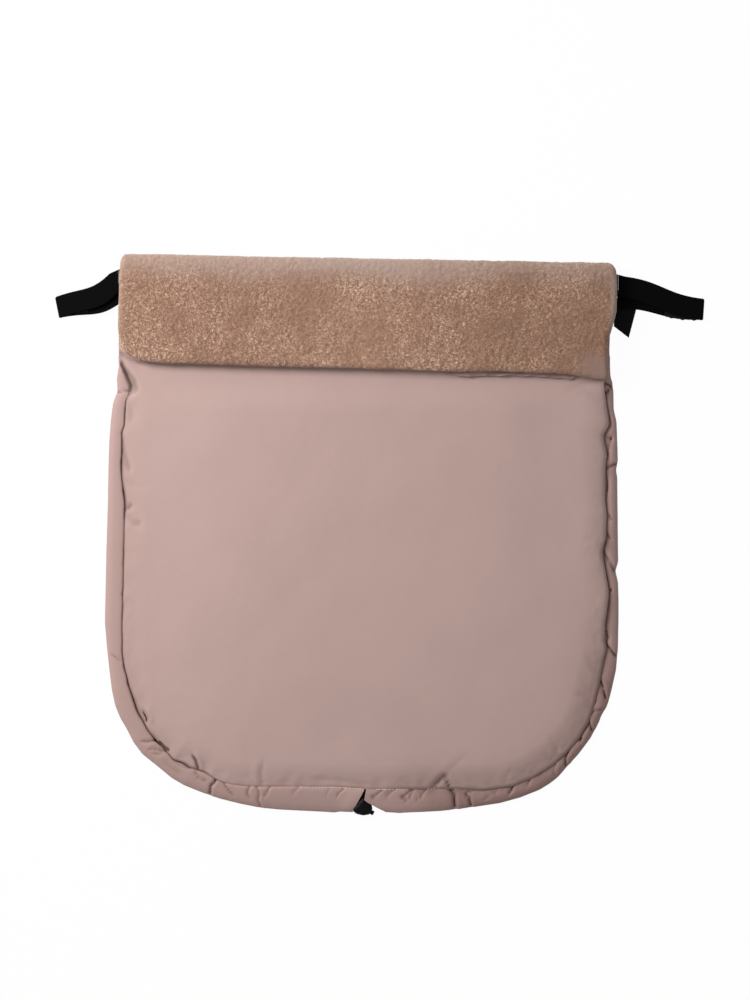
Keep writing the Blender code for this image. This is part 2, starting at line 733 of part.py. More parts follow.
def build_lock(group, cutters, palette):
    """Barrel with a blind bore and a cord slot, sprung plunger and its spring."""
    frame = lock_frame()
    slot_half = STRAND_SPACING / 2 + CORD_DIAMETER / 2 + CORD_CLEARANCE
    slot_rise = CORD_DIAMETER / 2 + CORD_CLEARANCE
    bore_end = LOCK_BACK - LOCK_END_WALL
    past = LOCK_RADIUS + RUNNING_GAP
    barrel = solid_cylinder("cord_lock_barrel", LOCK_RADIUS, -LOCK_FRONT, LOCK_BACK, frame,
                            group, palette["plastic"])
    bore = solid_cylinder("bore_cutter", PLUNGER_RADIUS + RUNNING_GAP, -LOCK_FRONT - past,
                          bore_end, frame, cutters, None, 24)
    hide_cutter(bore)
    slot = solid_box("slot_cutter", (-slot_half, -past, -slot_rise),
                     (slot_half, past, slot_rise), frame, cutters)
    cut(barrel, bore)
    cut(barrel, slot)
    bevel = barrel.modifiers.new("soft_edges", "BEVEL")
    bevel.width = LOCK_EDGE
    bevel.segments = 1
    bevel.limit_method = "ANGLE"
    bevel.angle_limit = math.radians(50)
    nose_x = slot_half + PLUNGER_NOSE
    plunger = solid_cylinder("cord_lock_plunger", PLUNGER_RADIUS,
                             -LOCK_FRONT - PLUNGER_PROUD, nose_x, frame, group,
                             palette["plastic"], 24)
    gate = solid_box("gate_cutter", (-slot_half - PLUNGER_TRAVEL, -past, -slot_rise),
                     (slot_half, past, slot_rise), frame, cutters)
    cut(plunger, gate)
    rest = nose_x + RUNNING_GAP + SPRING_WIRE / 2
    stop = bore_end - RUNNING_GAP - SPRING_WIRE / 2
    coil_radius = PLUNGER_RADIUS - RUNNING_GAP - SPRING_WIRE / 2
    per_turn = 10
    points = []
    for k in range(SPRING_TURNS * per_turn + 1):
        share = k / (SPRING_TURNS * per_turn)
        angle = 2 * math.pi * k / per_turn
        points.append((rest + (stop - rest) * share, coil_radius * math.cos(angle),
                       coil_radius * math.sin(angle)))
    wire("cord_lock_spring", points, SPRING_WIRE, 1, frame, group, palette["steel"])


def wire(name, points, diameter, resolution, matrix, group, material):
    """A round wire or cord along points, made a mesh."""
    data = bpy.data.curves.new(name, "CURVE")
    data.dimensions = "3D"
    data.bevel_depth = diameter / 2
    data.bevel_resolution = resolution
    data.use_fill_caps = True
    spline = data.splines.new("POLY")
    spline.points.add(len(points) - 1)
    for target, point in zip(spline.points, points):
        target.co = (*point, 1.0)
    item = place(name + "_line", data, group, None)
    item.matrix_world = matrix
    return to_mesh(item, name, group, material)


def smooth_curve(points, far_steps, near_steps, near_length, dense_steps=2000):
    """A Catmull-Rom curve through points, read closely over its last stretch."""
    padded = [2 * points[0] - points[1], *points, 2 * points[-1] - points[-2]]
    dense = []
    for a, b, c, d in zip(padded, padded[1:], padded[2:], padded[3:]):
        for t in np.linspace(0.0, 1.0, 12, endpoint=False):
            dense.append(0.5 * (2 * b + (c - a) * t + (2 * a - 5 * b + 4 * c - d) * t * t
                                + (3 * b - a - 3 * c + d) * t ** 3))
    dense.append(points[-1])
    whole = resample(dense, dense_steps)
    length = np.linalg.norm(np.diff(whole, axis=0), axis=1).sum()
    split = int(len(whole) * (1 - near_length / length))
    far = resample(whole[:split + 1], far_steps)
    near = resample(whole[split:], near_steps)
    return np.concatenate([far[:-1], near])


def lock_point(u, v):
    """World place of a point of the lock: u along the barrel, v along the cords."""
    return np.array(lock_frame() @ Vector((u, -v, 0.0)))


def build_cords(group, palette):
    """Both strands of the drawcord, each from its casing's top through the lock."""
    low_z = RIM_LIFT + RIM_WALL + CORD_DIAMETER / 2 + CORD_LIFT
    knot_v = LOCK_RADIUS + LOCK_TRAVEL + RUNNING_GAP
    near_slit = {
        "left": ((-0.0250, 0.0160, low_z + 0.0010),
                 (-0.0145, 0.0185, LOCK_Z - 0.0010),
                 (-0.0088, 0.0177, LOCK_Z)),
        "right": ((0.0250, 0.0185, low_z + 0.0005),
                  (0.0130, 0.0225, low_z + 0.0016),
                  (0.0029, 0.0238, LOCK_Z - 0.0008),
                  (-0.0009, 0.0223, LOCK_Z - 0.0004),
                  (-0.0022, 0.0189, LOCK_Z)),
    }
    for name, side in (("left", -1), ("right", 1)):
        path = resample(edge_path(CORD_BEND_X), 22)
        normals = inward_normals(path)
        widths = np.array([rim_width(y, side) for y in path[:, 1]])
        middle = path + normals * widths[:, None] / 2
        middle[0, 1] = RIM_TOP_Y - LAYER_GAP
        route = [np.array((side * x + lean(y), y, low_z)) for x, y in middle]
        lane = side * STRAND_SPACING / 2
        route += [np.array((x, LOWER_Y + rise, z)) for x, rise, z in near_slit[name]]
        straight = LOCK_RADIUS + 2 * RUNNING_GAP
        route += [lock_point(lane, v) for v in (-1.4 * straight, -straight, straight, knot_v)]
        wire("drawcord_" + name, smooth_curve(route, 40, 34, 0.060), CORD_DIAMETER, 2,
             Matrix.Identity(4), group, palette["cord"])
    build_knot(group, palette, knot_v + RUNNING_GAP)


def build_knot(group, palette, start_v):
    """The knot that ends both strands: a full turn of cord over a rounded heart."""
    bm = bmesh.new()
    bmesh.ops.create_uvsphere(bm, u_segments=18, v_segments=10, radius=0.5)
    for vertex in bm.verts:
        turn = math.atan2(vertex.co.z, vertex.co.x)
        groove = 1 + 0.10 * math.cos(2 * turn + 9.0 * vertex.co.y)
        width = KNOT_WIDTH * groove
        vertex.co = (vertex.co.x * width, vertex.co.y * KNOT_LENGTH,
                     vertex.co.z * KNOT_HEIGHT * groove)
    front = max(vertex.co.y for vertex in bm.verts)
    bmesh.ops.bisect_plane(bm, geom=bm.verts[:] + bm.edges[:] + bm.faces[:],
                           plane_co=(0.0, front * 0.8, 0.0), plane_no=(0.0, 1.0, 0.0),
                           clear_outer=True)
    bmesh.ops.holes_fill(bm, edges=[edge for edge in bm.edges if edge.is_boundary])
    item = finish_mesh("cord_knot", bm, group, palette["cord"])
    item.matrix_world = lock_frame() @ Matrix.Translation((0.0, -start_v - front * 0.8, 0.0))


def mouth_cutter(name, line, far_x, cutters):
    """What is beyond a casing's cut mouth: all that lies between its line and far_x."""
    below = LOWER_Y - RIM_HEIGHT
    outline = [*line, (line[-1][0], below), (far_x, below), (far_x, line[0][1])]
    item = flat_solid(name, outline, 4 * RIM_HEIGHT, cutters, None, Matrix.Identity(4))
    hide_cutter(item)
    return item


def slit_cutters(cutters):
    """Cutters of the left mouth, of the right mouth and of the room the lock moves in."""
    apex = (SLIT_X, LOWER_Y + RIM_WIDTH_BOTTOM + SEAM_GAP)
    far = 2 * SLIT_RIGHT_FOOT[0]
    left_lip = [(x, LOWER_Y + rise) for x, rise in (SLIT_LEFT_FOOT,)]
    right_lip = [(x, LOWER_Y + rise) for x, rise in (SLIT_RIGHT_KNEE, SLIT_RIGHT_SHIN,
                                                     SLIT_RIGHT_FOOT)]
    left = mouth_cutter("left_mouth_cutter", [apex, *left_lip], far, cutters)
    right = mouth_cutter("right_mouth_cutter", [apex, *right_lip], -far, cutters)
    clear = LOCK_RADIUS + RUNNING_GAP
    room = solid_box("lock_room_cutter",
                     (-LOCK_FRONT - PLUNGER_PROUD - RUNNING_GAP, -clear - LOCK_TRAVEL, -clear),
                     (LOCK_BACK + RUNNING_GAP, clear, clear), lock_frame(), cutters)
    return left, right, room


def main():
    """Build the blanket."""
    clear_scene()
    group = new_collection("car_seat_blanket")
    cutters = new_collection("cutters")
    palette = {"shell": new_material("shell_cloth", (0.43, 0.29, 0.26), 0.55),
               "fleece": new_material("fleece_pile", (0.36, 0.22, 0.155), 0.95),
               "wadding": new_material("white_wadding", (0.80, 0.79, 0.76), 0.95),
               "webbing": new_material("black_webbing", (0.012, 0.012, 0.013), 0.70),
               "hook": new_material("black_hook_tape", (0.008, 0.008, 0.009), 0.85),
               "label": new_material("black_label", (0.010, 0.010, 0.010), 0.60),
               "cord": new_material("black_cord", (0.011, 0.011, 0.011), 0.75),
               "plastic": new_material("black_plastic", (0.012, 0.012, 0.012), 0.40),
               "steel": new_material("spring_steel", (0.50, 0.50, 0.50), 0.30)}
    build_panel(group, palette)
    left_mouth, right_mouth, room = slit_cutters(cutters)
    build_casing("rim_casing_left", -1, (left_mouth, room), group, palette["shell"])
    build_casing("rim_casing_right", 1, (right_mouth, room), group, palette["shell"])
    build_fold(group, palette)
    build_cuff(group, palette)
    for name, spec in STRAPS.items():
        build_strap(name, spec, group, palette)
    build_label(group, palette)
    build_lock(group, cutters, palette)
    build_cords(group, palette)


main()
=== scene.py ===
"""Looks of the car seat blanket: cloth, plush, webbing and lock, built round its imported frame.

The blanket lies flat, plush side down on z = 0, with its round end towards -Y. Lengths are
in metres. Places along its edges are given as columns and rows of the photograph and turned
into metres by PhotoView.
"""
import json
import logging
import math
from contextlib import contextmanager
from dataclasses import dataclass, field
from enum import Enum
from typing import Any, Callable, Iterable, Iterator, Sequence

import bpy
import numpy as np
from mathutils import Matrix, Vector

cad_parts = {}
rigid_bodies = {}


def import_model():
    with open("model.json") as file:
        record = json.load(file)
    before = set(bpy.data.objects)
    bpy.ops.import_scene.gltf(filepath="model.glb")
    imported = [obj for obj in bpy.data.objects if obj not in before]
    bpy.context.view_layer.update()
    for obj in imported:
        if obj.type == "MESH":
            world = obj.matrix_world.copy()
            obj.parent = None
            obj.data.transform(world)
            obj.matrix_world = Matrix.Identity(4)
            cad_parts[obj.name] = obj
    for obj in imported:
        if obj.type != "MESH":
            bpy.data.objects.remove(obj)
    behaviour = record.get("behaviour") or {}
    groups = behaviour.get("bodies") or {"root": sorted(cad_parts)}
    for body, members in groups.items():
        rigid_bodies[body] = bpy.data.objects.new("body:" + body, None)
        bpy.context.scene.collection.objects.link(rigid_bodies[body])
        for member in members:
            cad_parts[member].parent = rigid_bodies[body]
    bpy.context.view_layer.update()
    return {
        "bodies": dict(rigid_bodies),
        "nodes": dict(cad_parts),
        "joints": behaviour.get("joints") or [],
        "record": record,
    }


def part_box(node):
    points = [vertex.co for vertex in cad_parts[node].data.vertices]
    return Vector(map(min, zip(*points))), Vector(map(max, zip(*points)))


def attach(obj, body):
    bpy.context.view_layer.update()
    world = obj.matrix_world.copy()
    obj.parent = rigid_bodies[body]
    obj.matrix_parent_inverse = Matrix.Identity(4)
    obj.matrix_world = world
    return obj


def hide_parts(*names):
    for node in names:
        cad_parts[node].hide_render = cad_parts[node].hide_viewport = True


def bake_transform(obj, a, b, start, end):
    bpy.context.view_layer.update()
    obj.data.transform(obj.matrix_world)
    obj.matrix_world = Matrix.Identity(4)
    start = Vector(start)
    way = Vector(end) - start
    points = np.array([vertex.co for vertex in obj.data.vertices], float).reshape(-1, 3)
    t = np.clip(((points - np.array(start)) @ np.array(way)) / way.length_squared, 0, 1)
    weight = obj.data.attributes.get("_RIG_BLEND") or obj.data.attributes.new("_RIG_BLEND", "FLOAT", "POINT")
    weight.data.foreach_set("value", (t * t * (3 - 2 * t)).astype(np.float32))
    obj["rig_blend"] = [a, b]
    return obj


logging.basicConfig(level=logging.INFO, format="%(message)s")
LOG = logging.getLogger("blanket")

Array = np.ndarray
Spots = tuple[Array, Array, Array]
Rule = Callable[[Array, Array], Spots]
Triple = tuple[float, float, float]
Inputs = dict[Any, Any] | None
Item = bpy.types.Object
Finish = bpy.types.Material
Line = tuple[tuple[float, float], ...]
MM = 0.001


def ease(value: Array | float) -> Array:
    """Rise from 0 to 1 with level ends."""
    share = np.clip(value, 0.0, 1.0)
    return share * share * (3 - 2 * share)


def bell(distance: Array, width: float) -> Array:
    """A smooth hump of height 1 at distance 0."""
    return np.exp(-(distance / width) ** 2)


def unit(rows: Array) -> Array:
    """Each row at length 1."""
    return rows / np.linalg.norm(rows, axis=1)[:, None]


def run_of(points: Array) -> Array:
    """Distance of each point of a line from its start."""
    return np.concatenate([[0.0], np.cumsum(np.linalg.norm(np.diff(points, axis=0), axis=1))])


def distances(first: Array, second: Array) -> Array:
    """Distance on the page from each of some places to each of some others."""
    return np.hypot(first[:, None, 0] - second[None, :, 0],
                    first[:, None, 1] - second[None, :, 1])


@dataclass(frozen=True)
class PhotoView:
    """How a column and row of the photograph lie on the blanket."""

    pixel: float = 1.1673 * MM
    zero_column: float = 361.0
    zero_row: float = 534.0
    centre: tuple[float, float] = (0.01634, 0.03969)
    rows: int = 1000
    lens: float = 180.0
    sensor: float = 36.0

    def line(self, stations: Iterable[Sequence[float]]) -> Array:
        """Turn stations given as (column, row) into metres.

        Args:
            stations: Places in the photograph.

        Returns:
            One row of x and y for each station.
        """
        spots = np.array([tuple(spot)[:2] for spot in stations], float)
        return np.column_stack([(spots[:, 0] - self.zero_column) * self.pixel,
                                (self.zero_row - spots[:, 1]) * self.pixel])

    def distance(self) -> float:
        """Height of the camera above the surface that the blanket lies on."""
        return self.rows * self.pixel * self.lens / self.sensor


VIEW = PhotoView()


@dataclass(frozen=True)
class BodyForm:
    """Driving sizes of the blanket, the same as the frame's."""

    width: float = 600 * MM
    upper_taper: float = 8 * MM
    top_taper: float = 16 * MM
    length: float = 649 * MM
    curve_depth: float = 224.5 * MM
    curve_power: float = 3.05
    shoulder_below_fold: float = 174.5 * MM
    shoulder_length: float = 80 * MM
    top_lean: float = 10 * MM
    fleece: float = 8 * MM
    wadding: float = 3.7 * MM
    shell: float = 1.2 * MM
    gap: float = 0.3 * MM
    web: float = 1.5 * MM
    seam_height: float = 5.5 * MM
    puff_reach: float = 30 * MM
    crown: float = 4 * MM
    crown_reach: float = 130 * MM
    flatten_start: float = 50 * MM
    flatten_length: float = 38 * MM
    cuff_depth: float = 131.5 * MM
    cuff_corner: float = 14 * MM
    rim_left: float = 18 * MM
    rim_right: float = 15 * MM
    rim_bottom: float = 28 * MM
    rim_under_cuff: float = 10.5 * MM

    @property
    def fold_y(self) -> float:
        """Height of the fold on the page."""
        return self.length / 2

    @property
    def lower_y(self) -> float:
        """Height of the round lower end on the page."""
        return -self.length / 2

    @property
    def curve_y(self) -> float:
        """Where the straight sides turn into the round end."""
        return self.lower_y + self.curve_depth

    @property
    def shell_low(self) -> float:
        """Underside of the shell cloth on the flat part."""
        return self.fleece + self.wadding + 2 * self.gap

    @property
    def body_top(self) -> float:
        """Top of the body under the cuff."""
        return self.shell_low + self.shell

    @property
    def cuff_low(self) -> float:
        """Underside of the turned-down cuff."""
        return self.body_top + self.web + 3 * self.gap

    @property
    def hinge_z(self) -> float:
        """Height of the line that the fold turns about."""
        return (self.body_top + self.cuff_low) / 2

    @property
    def hinge_y(self) -> float:
        """Place on the page of the line that the fold turns about."""
        return self.fold_y - self.hinge_z

    @property
    def cuff_edge_y(self) -> float:
        """Lower edge of the cuff."""
        return self.fold_y - self.cuff_depth

    @property
    def rim_top_y(self) -> float:
        """Upper end of the rim casings, under the cuff."""
        return self.cuff_edge_y + self.rim_under_cuff

    def lean(self, y: Array) -> Array:
        """Sideways drift of the upper part."""
        share = np.maximum(0.0, (y - self.curve_y) / (self.fold_y - self.curve_y))
        return self.top_lean * share ** 2

    def half_width(self, y: Array) -> Array:
        """Half the width of the body at a height on the page."""
        shoulder_y = self.fold_y - self.shoulder_below_fold
        depth = np.clip((self.curve_y - y) / self.curve_depth, 0.0, 1.0)
        curve = self.width / 2 * (1 - depth ** self.curve_power) ** (1 / self.curve_power)
        rise = np.clip((y - self.curve_y) / (shoulder_y - self.curve_y), 0.0, 1.0)
        shoulder = ease((y - shoulder_y) / self.shoulder_length + 0.5)
        upper = self.width / 2 - self.upper_taper / 2 * rise - self.top_taper / 2 * shoulder
        return np.where(y <= self.curve_y, curve, upper)

    def side(self, y: Array, side: int) -> Array:
        """Where one side of the body lies at a height on the page."""
        return side * self.half_width(y) + self.lean(y)

    def under_cuff(self, y: Array) -> Array:
        """0 on the open panel and 1 where the cuff covers it."""
        return ease((y - self.cuff_edge_y + self.flatten_start) / self.flatten_length)

    def shell_height(self, inset: Array, y: Array, power: Array | float = 1.0) -> Array:
        """Underside of the shell cloth at a distance from its seam, steeper by a power < 1."""
        puff = np.sin(math.pi / 2 * np.minimum(inset / self.puff_reach, 1.0)) ** power
        crown = self.crown * ease(inset / self.crown_reach)
        free = self.seam_height + (self.shell_low - self.seam_height) * puff + crown
        return free + (self.shell_low - free) * self.under_cuff(y)

    def away(self, x: Array, y: Array) -> Array:
        """How far the edge near a place faces away from the window, from -0.85 to 1."""
        low = np.minimum(y - self.curve_y, 0.0)
        return (0.846 * x - 0.533 * low) / (np.hypot(x, low) + MM)

    def leeward(self, x: Array, y: Array) -> Array:
        """1 where the edge near a place faces away from the window, and 0 elsewhere."""
        return ease((self.away(x, y) - 0.58) / 0.2)

    def stitched(self, x: Array, y: Array) -> Array:
        """How flat the seam is sewn: 0.85 along the lower edge, 0 on the sides."""
        return 0.85 * bell(x + 0.05, 0.12) * (y < -0.2)

    def skew(self, x: Array, y: Array) -> Array:
        """How far the fold and what lies under it is turned down to the right."""
        reach = self.hinge_y - self.cuff_edge_y
        return -0.0185 * (x + 0.130) * ease((y - self.cuff_edge_y) / reach)


FORM = BodyForm()


class ClothNoise:
    """Smooth random heights between -1 and 1, the same on every run."""

    def __init__(self, seed: int) -> None:
        """Fill the table of random heights from a seed."""
        self.table = np.random.default_rng(seed).uniform(-1.0, 1.0, (256, 256))

    def at(self, x: Array, y: Array, size: float) -> Array:
        """Read the heights.

        Args:
            x: Places across.
            y: Places along.
            size: Length of one lump.

        Returns:
            A height for each place.
        """
        across = x / size
        along = y / size
        left = np.floor(across).astype(int)
        low = np.floor(along).astype(int)
        p = ease(across - left)
        q = ease(along - low)
        corner = [self.table[(left + i) % 256, (low + j) % 256]
                  for i, j in ((0, 0), (1, 0), (0, 1), (1, 1))]
        return ((corner[0] * (1 - p) + corner[1] * p) * (1 - q)
                + (corner[2] * (1 - p) + corner[3] * p) * q)


@dataclass(frozen=True)
class Crease:
    """A fold line in cloth: a valley with a raised flank on its left, seen along the line, and painted shade
    in the valley.
    """

    stations: Line
    depth: float
    width: float
    flank: float
    ends: str = ""
    # How strong the painted shade in the valley is; 0 takes it from the valley's steepness.
    painted_darkness: float = 0.0
    fading: float = 0.35

    def profile(self, x: Array, y: Array, welt: float = 1.0) -> tuple[Array, Array]:
        """Shape of the cloth at this crease.

        Args:
            x: Places across the page.
            y: Places up the page.
            welt: Share of the flank's height that shows.

        Returns:
            The rise at each place, below 0 in the valley, and how much painted shade darkens it.
        """
        spots = VIEW.line(self.stations)
        run = run_of(spots)
        best = signed = np.ones(np.shape(x))
        share = 0 * best
        for (ax, ay), (bx, by), start, leg in zip(spots, spots[1:], run, np.diff(run)):
            ux, uy = (bx - ax) / leg, (by - ay) / leg
            along = np.clip((x - ax) * ux + (y - ay) * uy, 0.0, leg)
            away = np.hypot(x - ax - ux * along, y - ay - uy * along)
            side = np.sign(ux * (y - ay) - uy * (x - ax))
            closer = away < best
            best = np.where(closer, away, best)
            signed = np.where(closer, away * side, signed)
            share = np.where(closer, (start + along) / run[-1], share)
        fade = 1.0 if "a" in self.ends else ease(share / self.fading)
        fade = fade if "b" in self.ends else fade * ease((1 - share) / self.fading)
        valley = -np.exp(-(best / self.width) ** 1.5)
        flank = welt * self.flank * bell(signed - 2.2 * self.width, 1.5 * self.width)
        # Painted shade along the valley's line.
        painted_darkness = self.painted_darkness or min(1.0, self.depth / self.width) ** 2
        return self.depth * fade * (valley + flank), fade * painted_darkness * bell(best, 0.75 * self.width)


def crease_table(*rows: tuple) -> tuple[Crease, ...]:
    """Creases from rows of columns and rows, depth and width in mm, and the other fields.

    The ends' "a" and "b" say that the crease doesn't die out at its first or last station.
    """
    return tuple(Crease(tuple(zip(places[::2], places[1::2])), depth * MM, width * MM, *rest)
                 for places, depth, width, *rest in rows)


@dataclass
class Course:
    """A smooth line on the page through measured stations, read every millimetre."""

    spots: Array
    blur: float = 6 * MM
    batch: int = 4000

    def __post_init__(self) -> None:
        """Resample the stations, round the corners between them and take the directions."""
        points = self.resample(self.spots, MM)
        window = max(1, int(self.blur / MM))
        kernel = np.hanning(2 * window + 3)[1:-1]
        kernel /= kernel.sum()
        half = len(kernel) // 2
        before = 2 * points[0] - points[half:0:-1]
        after = 2 * points[-1] - points[-2:-half - 2:-1]
        padded = np.concatenate([before, points, after])
        points = np.column_stack([np.convolve(padded[:, k], kernel, "valid") for k in (0, 1)])
        self.points = self.resample(points, MM)
        self.run = run_of(self.points)
        self.length = float(self.run[-1])
        self.tangent = unit(np.gradient(self.points, axis=0))

    @staticmethod
    def resample(points: Array, step: float) -> Array:
        """Space points evenly along a line.

        Args:
            points: The line's corners.
            step: Rough distance between the new points.

        Returns:
            The evenly spaced points.
        """
        run = run_of(points)
        marks = np.linspace(0.0, run[-1], int(run[-1] / step) + 2)
        return np.column_stack([np.interp(marks, run, points[:, k])
                                for k in range(points.shape[1])])

    def at(self, distance: Array) -> Array:
        """Places at distances along the line."""
        return np.column_stack([np.interp(distance, self.run, self.points[:, k])
                                for k in (0, 1)])

    def nearest(self, places: Array) -> Array:
        """Distance of each place to the line."""
        parts = np.array_split(places, len(places) // self.batch + 1)
        return np.concatenate([distances(part, self.points).min(axis=1) for part in parts])


# Columns and rows of the photograph, from the casing's top to the middle of the lower edge;
# -1 is the left side and 1 the right one.
EDGES = {
    -1: ((118.5, 356), (119, 366), (117, 378), (117.5, 388), (117.5, 392), (115, 398), (113, 404),
         (111, 420), (109.5, 440), (108.5, 470), (108, 502), (106.5, 550), (105.5, 598),
         (105, 622), (107, 646), (109.5, 670), (112, 690), (115.5, 706), (120.5, 718),
         (127.5, 730), (133.5, 742), (142.5, 754), (157.5, 766), (172, 778), (184, 785),
         (200, 791.5), (220, 798.5), (240, 803.5), (260, 807.5), (280, 809.5), (300, 810.5),
         (320, 811.5), (340, 812.5), (353, 811.5), (372, 812)),
    1: ((610, 356), (610, 366), (610.5, 376), (612.5, 384), (613.5, 392), (613.7, 409),
        (616.6, 422), (617.5, 447), (617.8, 462), (616, 470), (617.3, 478), (617.5, 502),
        (618, 550), (618.2, 561), (615.5, 571), (618, 582), (618.5, 598), (618.5, 622),
        (618, 646), (616, 670), (611.5, 690), (607, 706), (601, 716), (599, 722), (590.5, 738),
        (578.5, 754), (568.5, 765), (557.5, 777.5), (549, 784), (539, 790), (520, 797.5),
        (500, 803), (480, 806), (462, 808.5), (440, 811), (420, 812), (400, 812.5),
        (388, 813), (372, 812)),
}
SEAMS = {
    -1: ((121, 356), (121.5, 365), (126, 378), (131, 391), (126, 401), (124.5, 426),
         (122, 432), (121.5, 460), (122, 481), (125, 503), (124.5, 515), (124, 560),
         (123, 600), (122, 652), (124, 666), (127, 677), (129, 688), (133, 699), (136, 707),
         (139, 715), (144, 723), (147.5, 729.5), (155.5, 740), (165, 750), (173, 759.5),
         (183, 763), (191, 768), (205, 772), (213, 777.5), (223, 782), (235, 784.5),
         (249, 786), (299, 786), (340, 786.5), (372, 788.5)),
    1: ((602, 356), (602, 370), (602.5, 383), (603.5, 393), (606.5, 410), (608.5, 424),
        (606, 430), (602.5, 435), (604, 446), (606, 455), (604.5, 468), (604.5, 500),
        (606, 515), (605, 538), (601.5, 552), (603, 562), (604.5, 570), (608, 590),
        (607.5, 602), (604.5, 622), (604, 640), (606, 648), (603, 660), (600, 676), (594, 703),
        (588, 721), (579, 737), (566, 752), (553, 764), (533, 777), (513, 785), (483, 789.5),
        (455, 788), (420, 788), (390, 788.5), (372, 788.5)),
}
# How dark the painted shade in the left seam is at a row, and where the sides run on under the cuff.
SEAM_SHADE = ((395, 0.55), (412, 0.5), (430, 0.85), (440, 1.0), (508, 1.0), (520, 0.5),
              (535, 0.3), (600, 0.3), (622, 0.45), (650, 0.7), (675, 0.9), (760, 0.9),
              (784, 0.5))
COVERS = {-1: ((119.5, 356), (120.5, 366)), 1: ((609, 356), (608.5, 366), (606.5, 376))}


def seam_shade(x: Array, y: Array) -> Array:
    """How strong the painted shade along the seam's line is, at the left by the photograph's rows."""
    rows, painted_darkness = np.array(SEAM_SHADE).T
    left = 1.25 * np.interp(VIEW.zero_row - y / VIEW.pixel, rows, painted_darkness)
    return np.where(x < 0, left, 0.2) * (1 - FORM.stitched(x, y))


def deselect() -> None:
    """Deselect everything."""
    bpy.ops.object.select_all(action="DESELECT")


def take(item: Item) -> None:
    """Make one object the selected and active one."""
    deselect()
    item.select_set(True)
    bpy.context.view_layer.objects.active = item


def grid(name: str, columns: int, rows: int, rule: Rule) -> Item:
    """Add a grid and lay its points by a rule.

    Args:
        name: Name of the piece.
        columns: Cells across.
        rows: Cells along.
        rule: Gives x, y and z for the column and row numbers of the points.

    Returns:
        The new object, with column and row kept on its points.
    """
    deselect()
    bpy.ops.mesh.primitive_grid_add(x_subdivisions=columns, y_subdivisions=rows, size=2)
    item = bpy.context.object
    item.name = item.data.name = name
    column, row = np.meshgrid(np.arange(columns + 1), np.arange(rows + 1))
    column, row = column.ravel(), row.ravel()
    set_points(item, np.column_stack(rule(column, row)))
    note(item, "column", column)
    note(item, "row", row)
    return item


def set_points(item: Item, points: Array) -> None:
    """Set all the points of a mesh."""
    item.data.vertices.foreach_set("co", np.asarray(points, np.float32).ravel())
    item.data.update()


def note(item: Item, label: str, values: Array) -> None:
    """Keep a value at each point of a mesh."""
    layers = item.data.attributes
    layer = layers[label] if label in layers else layers.new(label, "FLOAT", "POINT")
    layer.data.foreach_set("value", np.asarray(values, np.float32))


def mesh_points(item: Item) -> Array:
    """All the points of a mesh."""
    found = np.empty(len(item.data.vertices) * 3, np.float32)
    item.data.vertices.foreach_get("co", found)
    return found.reshape(-1, 3).astype(float)


def noted(item: Item, label: str) -> Array:
    """The values kept at the points of a mesh."""
    found = np.empty(len(item.data.vertices), np.float32)
    item.data.attributes[label].data.foreach_get("value", found)
    return found


def cells(item: Item) -> list[Array]:
    """The column and row numbers of a grid's points."""
    return [np.round(noted(item, label)).astype(int) for label in ("column", "row")]


@contextmanager
def editing(item: Item, choice: str = "SELECT") -> Iterator[None]:
    """Open a mesh in edit mode, with all or none of it selected, and close it after."""
    take(item)
    bpy.ops.object.mode_set(mode="EDIT")
    bpy.ops.mesh.select_mode(type="VERT")
    bpy.ops.mesh.select_all(action=choice)
    yield
    bpy.ops.object.mode_set(mode="OBJECT")


def skirt(item: Item, rings: Sequence[Rule]) -> None:
    """Extrude a mesh's open edge ring by ring and fill the last one.

    Args:
        item: The mesh.
        rings: Gives each ring's x, y and z for the column and row numbers.
    """
    with editing(item, "DESELECT"):
        bpy.ops.mesh.select_non_manifold(extend=False, use_wire=False, use_boundary=True,
                                         use_multi_face=False, use_non_contiguous=False,
                                         use_verts=False)
        for rule in rings:
            bpy.ops.mesh.extrude_region_move()
            bpy.ops.object.mode_set(mode="OBJECT")
            chosen = np.empty(len(item.data.vertices), bool)
            item.data.vertices.foreach_get("select", chosen)
            column, row = cells(item)
            spots = mesh_points(item)
            spots[chosen] = np.column_stack(rule(column[chosen], row[chosen]))
            set_points(item, spots)
            bpy.ops.object.mode_set(mode="EDIT")
        bpy.ops.mesh.edge_face_add()


def weld(item: Item, fill: bool = False) -> None:
    """Merge the points that lie on each other, and fill the open ends if asked."""
    with editing(item):
        bpy.ops.mesh.remove_doubles(threshold=0.01 * MM)
        if fill:
            bpy.ops.mesh.fill_holes(sides=0)
        bpy.ops.mesh.select_all(action="SELECT")
        bpy.ops.mesh.normals_make_consistent(inside=False)


def flip(item: Item) -> None:
    """Turn all the faces over."""
    with editing(item):
        bpy.ops.mesh.flip_normals()


def thicken(item: Item, thickness: float, offset: float) -> None:
    """Give a sheet its thickness, on one side for an offset of 1 or -1."""
    take(item)
    step = item.modifiers.new("thickness", "SOLIDIFY")
    step.thickness, step.offset = thickness, offset
    bpy.ops.object.modifier_apply(modifier=step.name)


def smooth(item: Item, degrees: float = 50.0) -> None:
    """Shade smooth, but keep edges sharper than an angle."""
    take(item)
    bpy.ops.object.shade_smooth_by_angle(angle=math.radians(degrees))


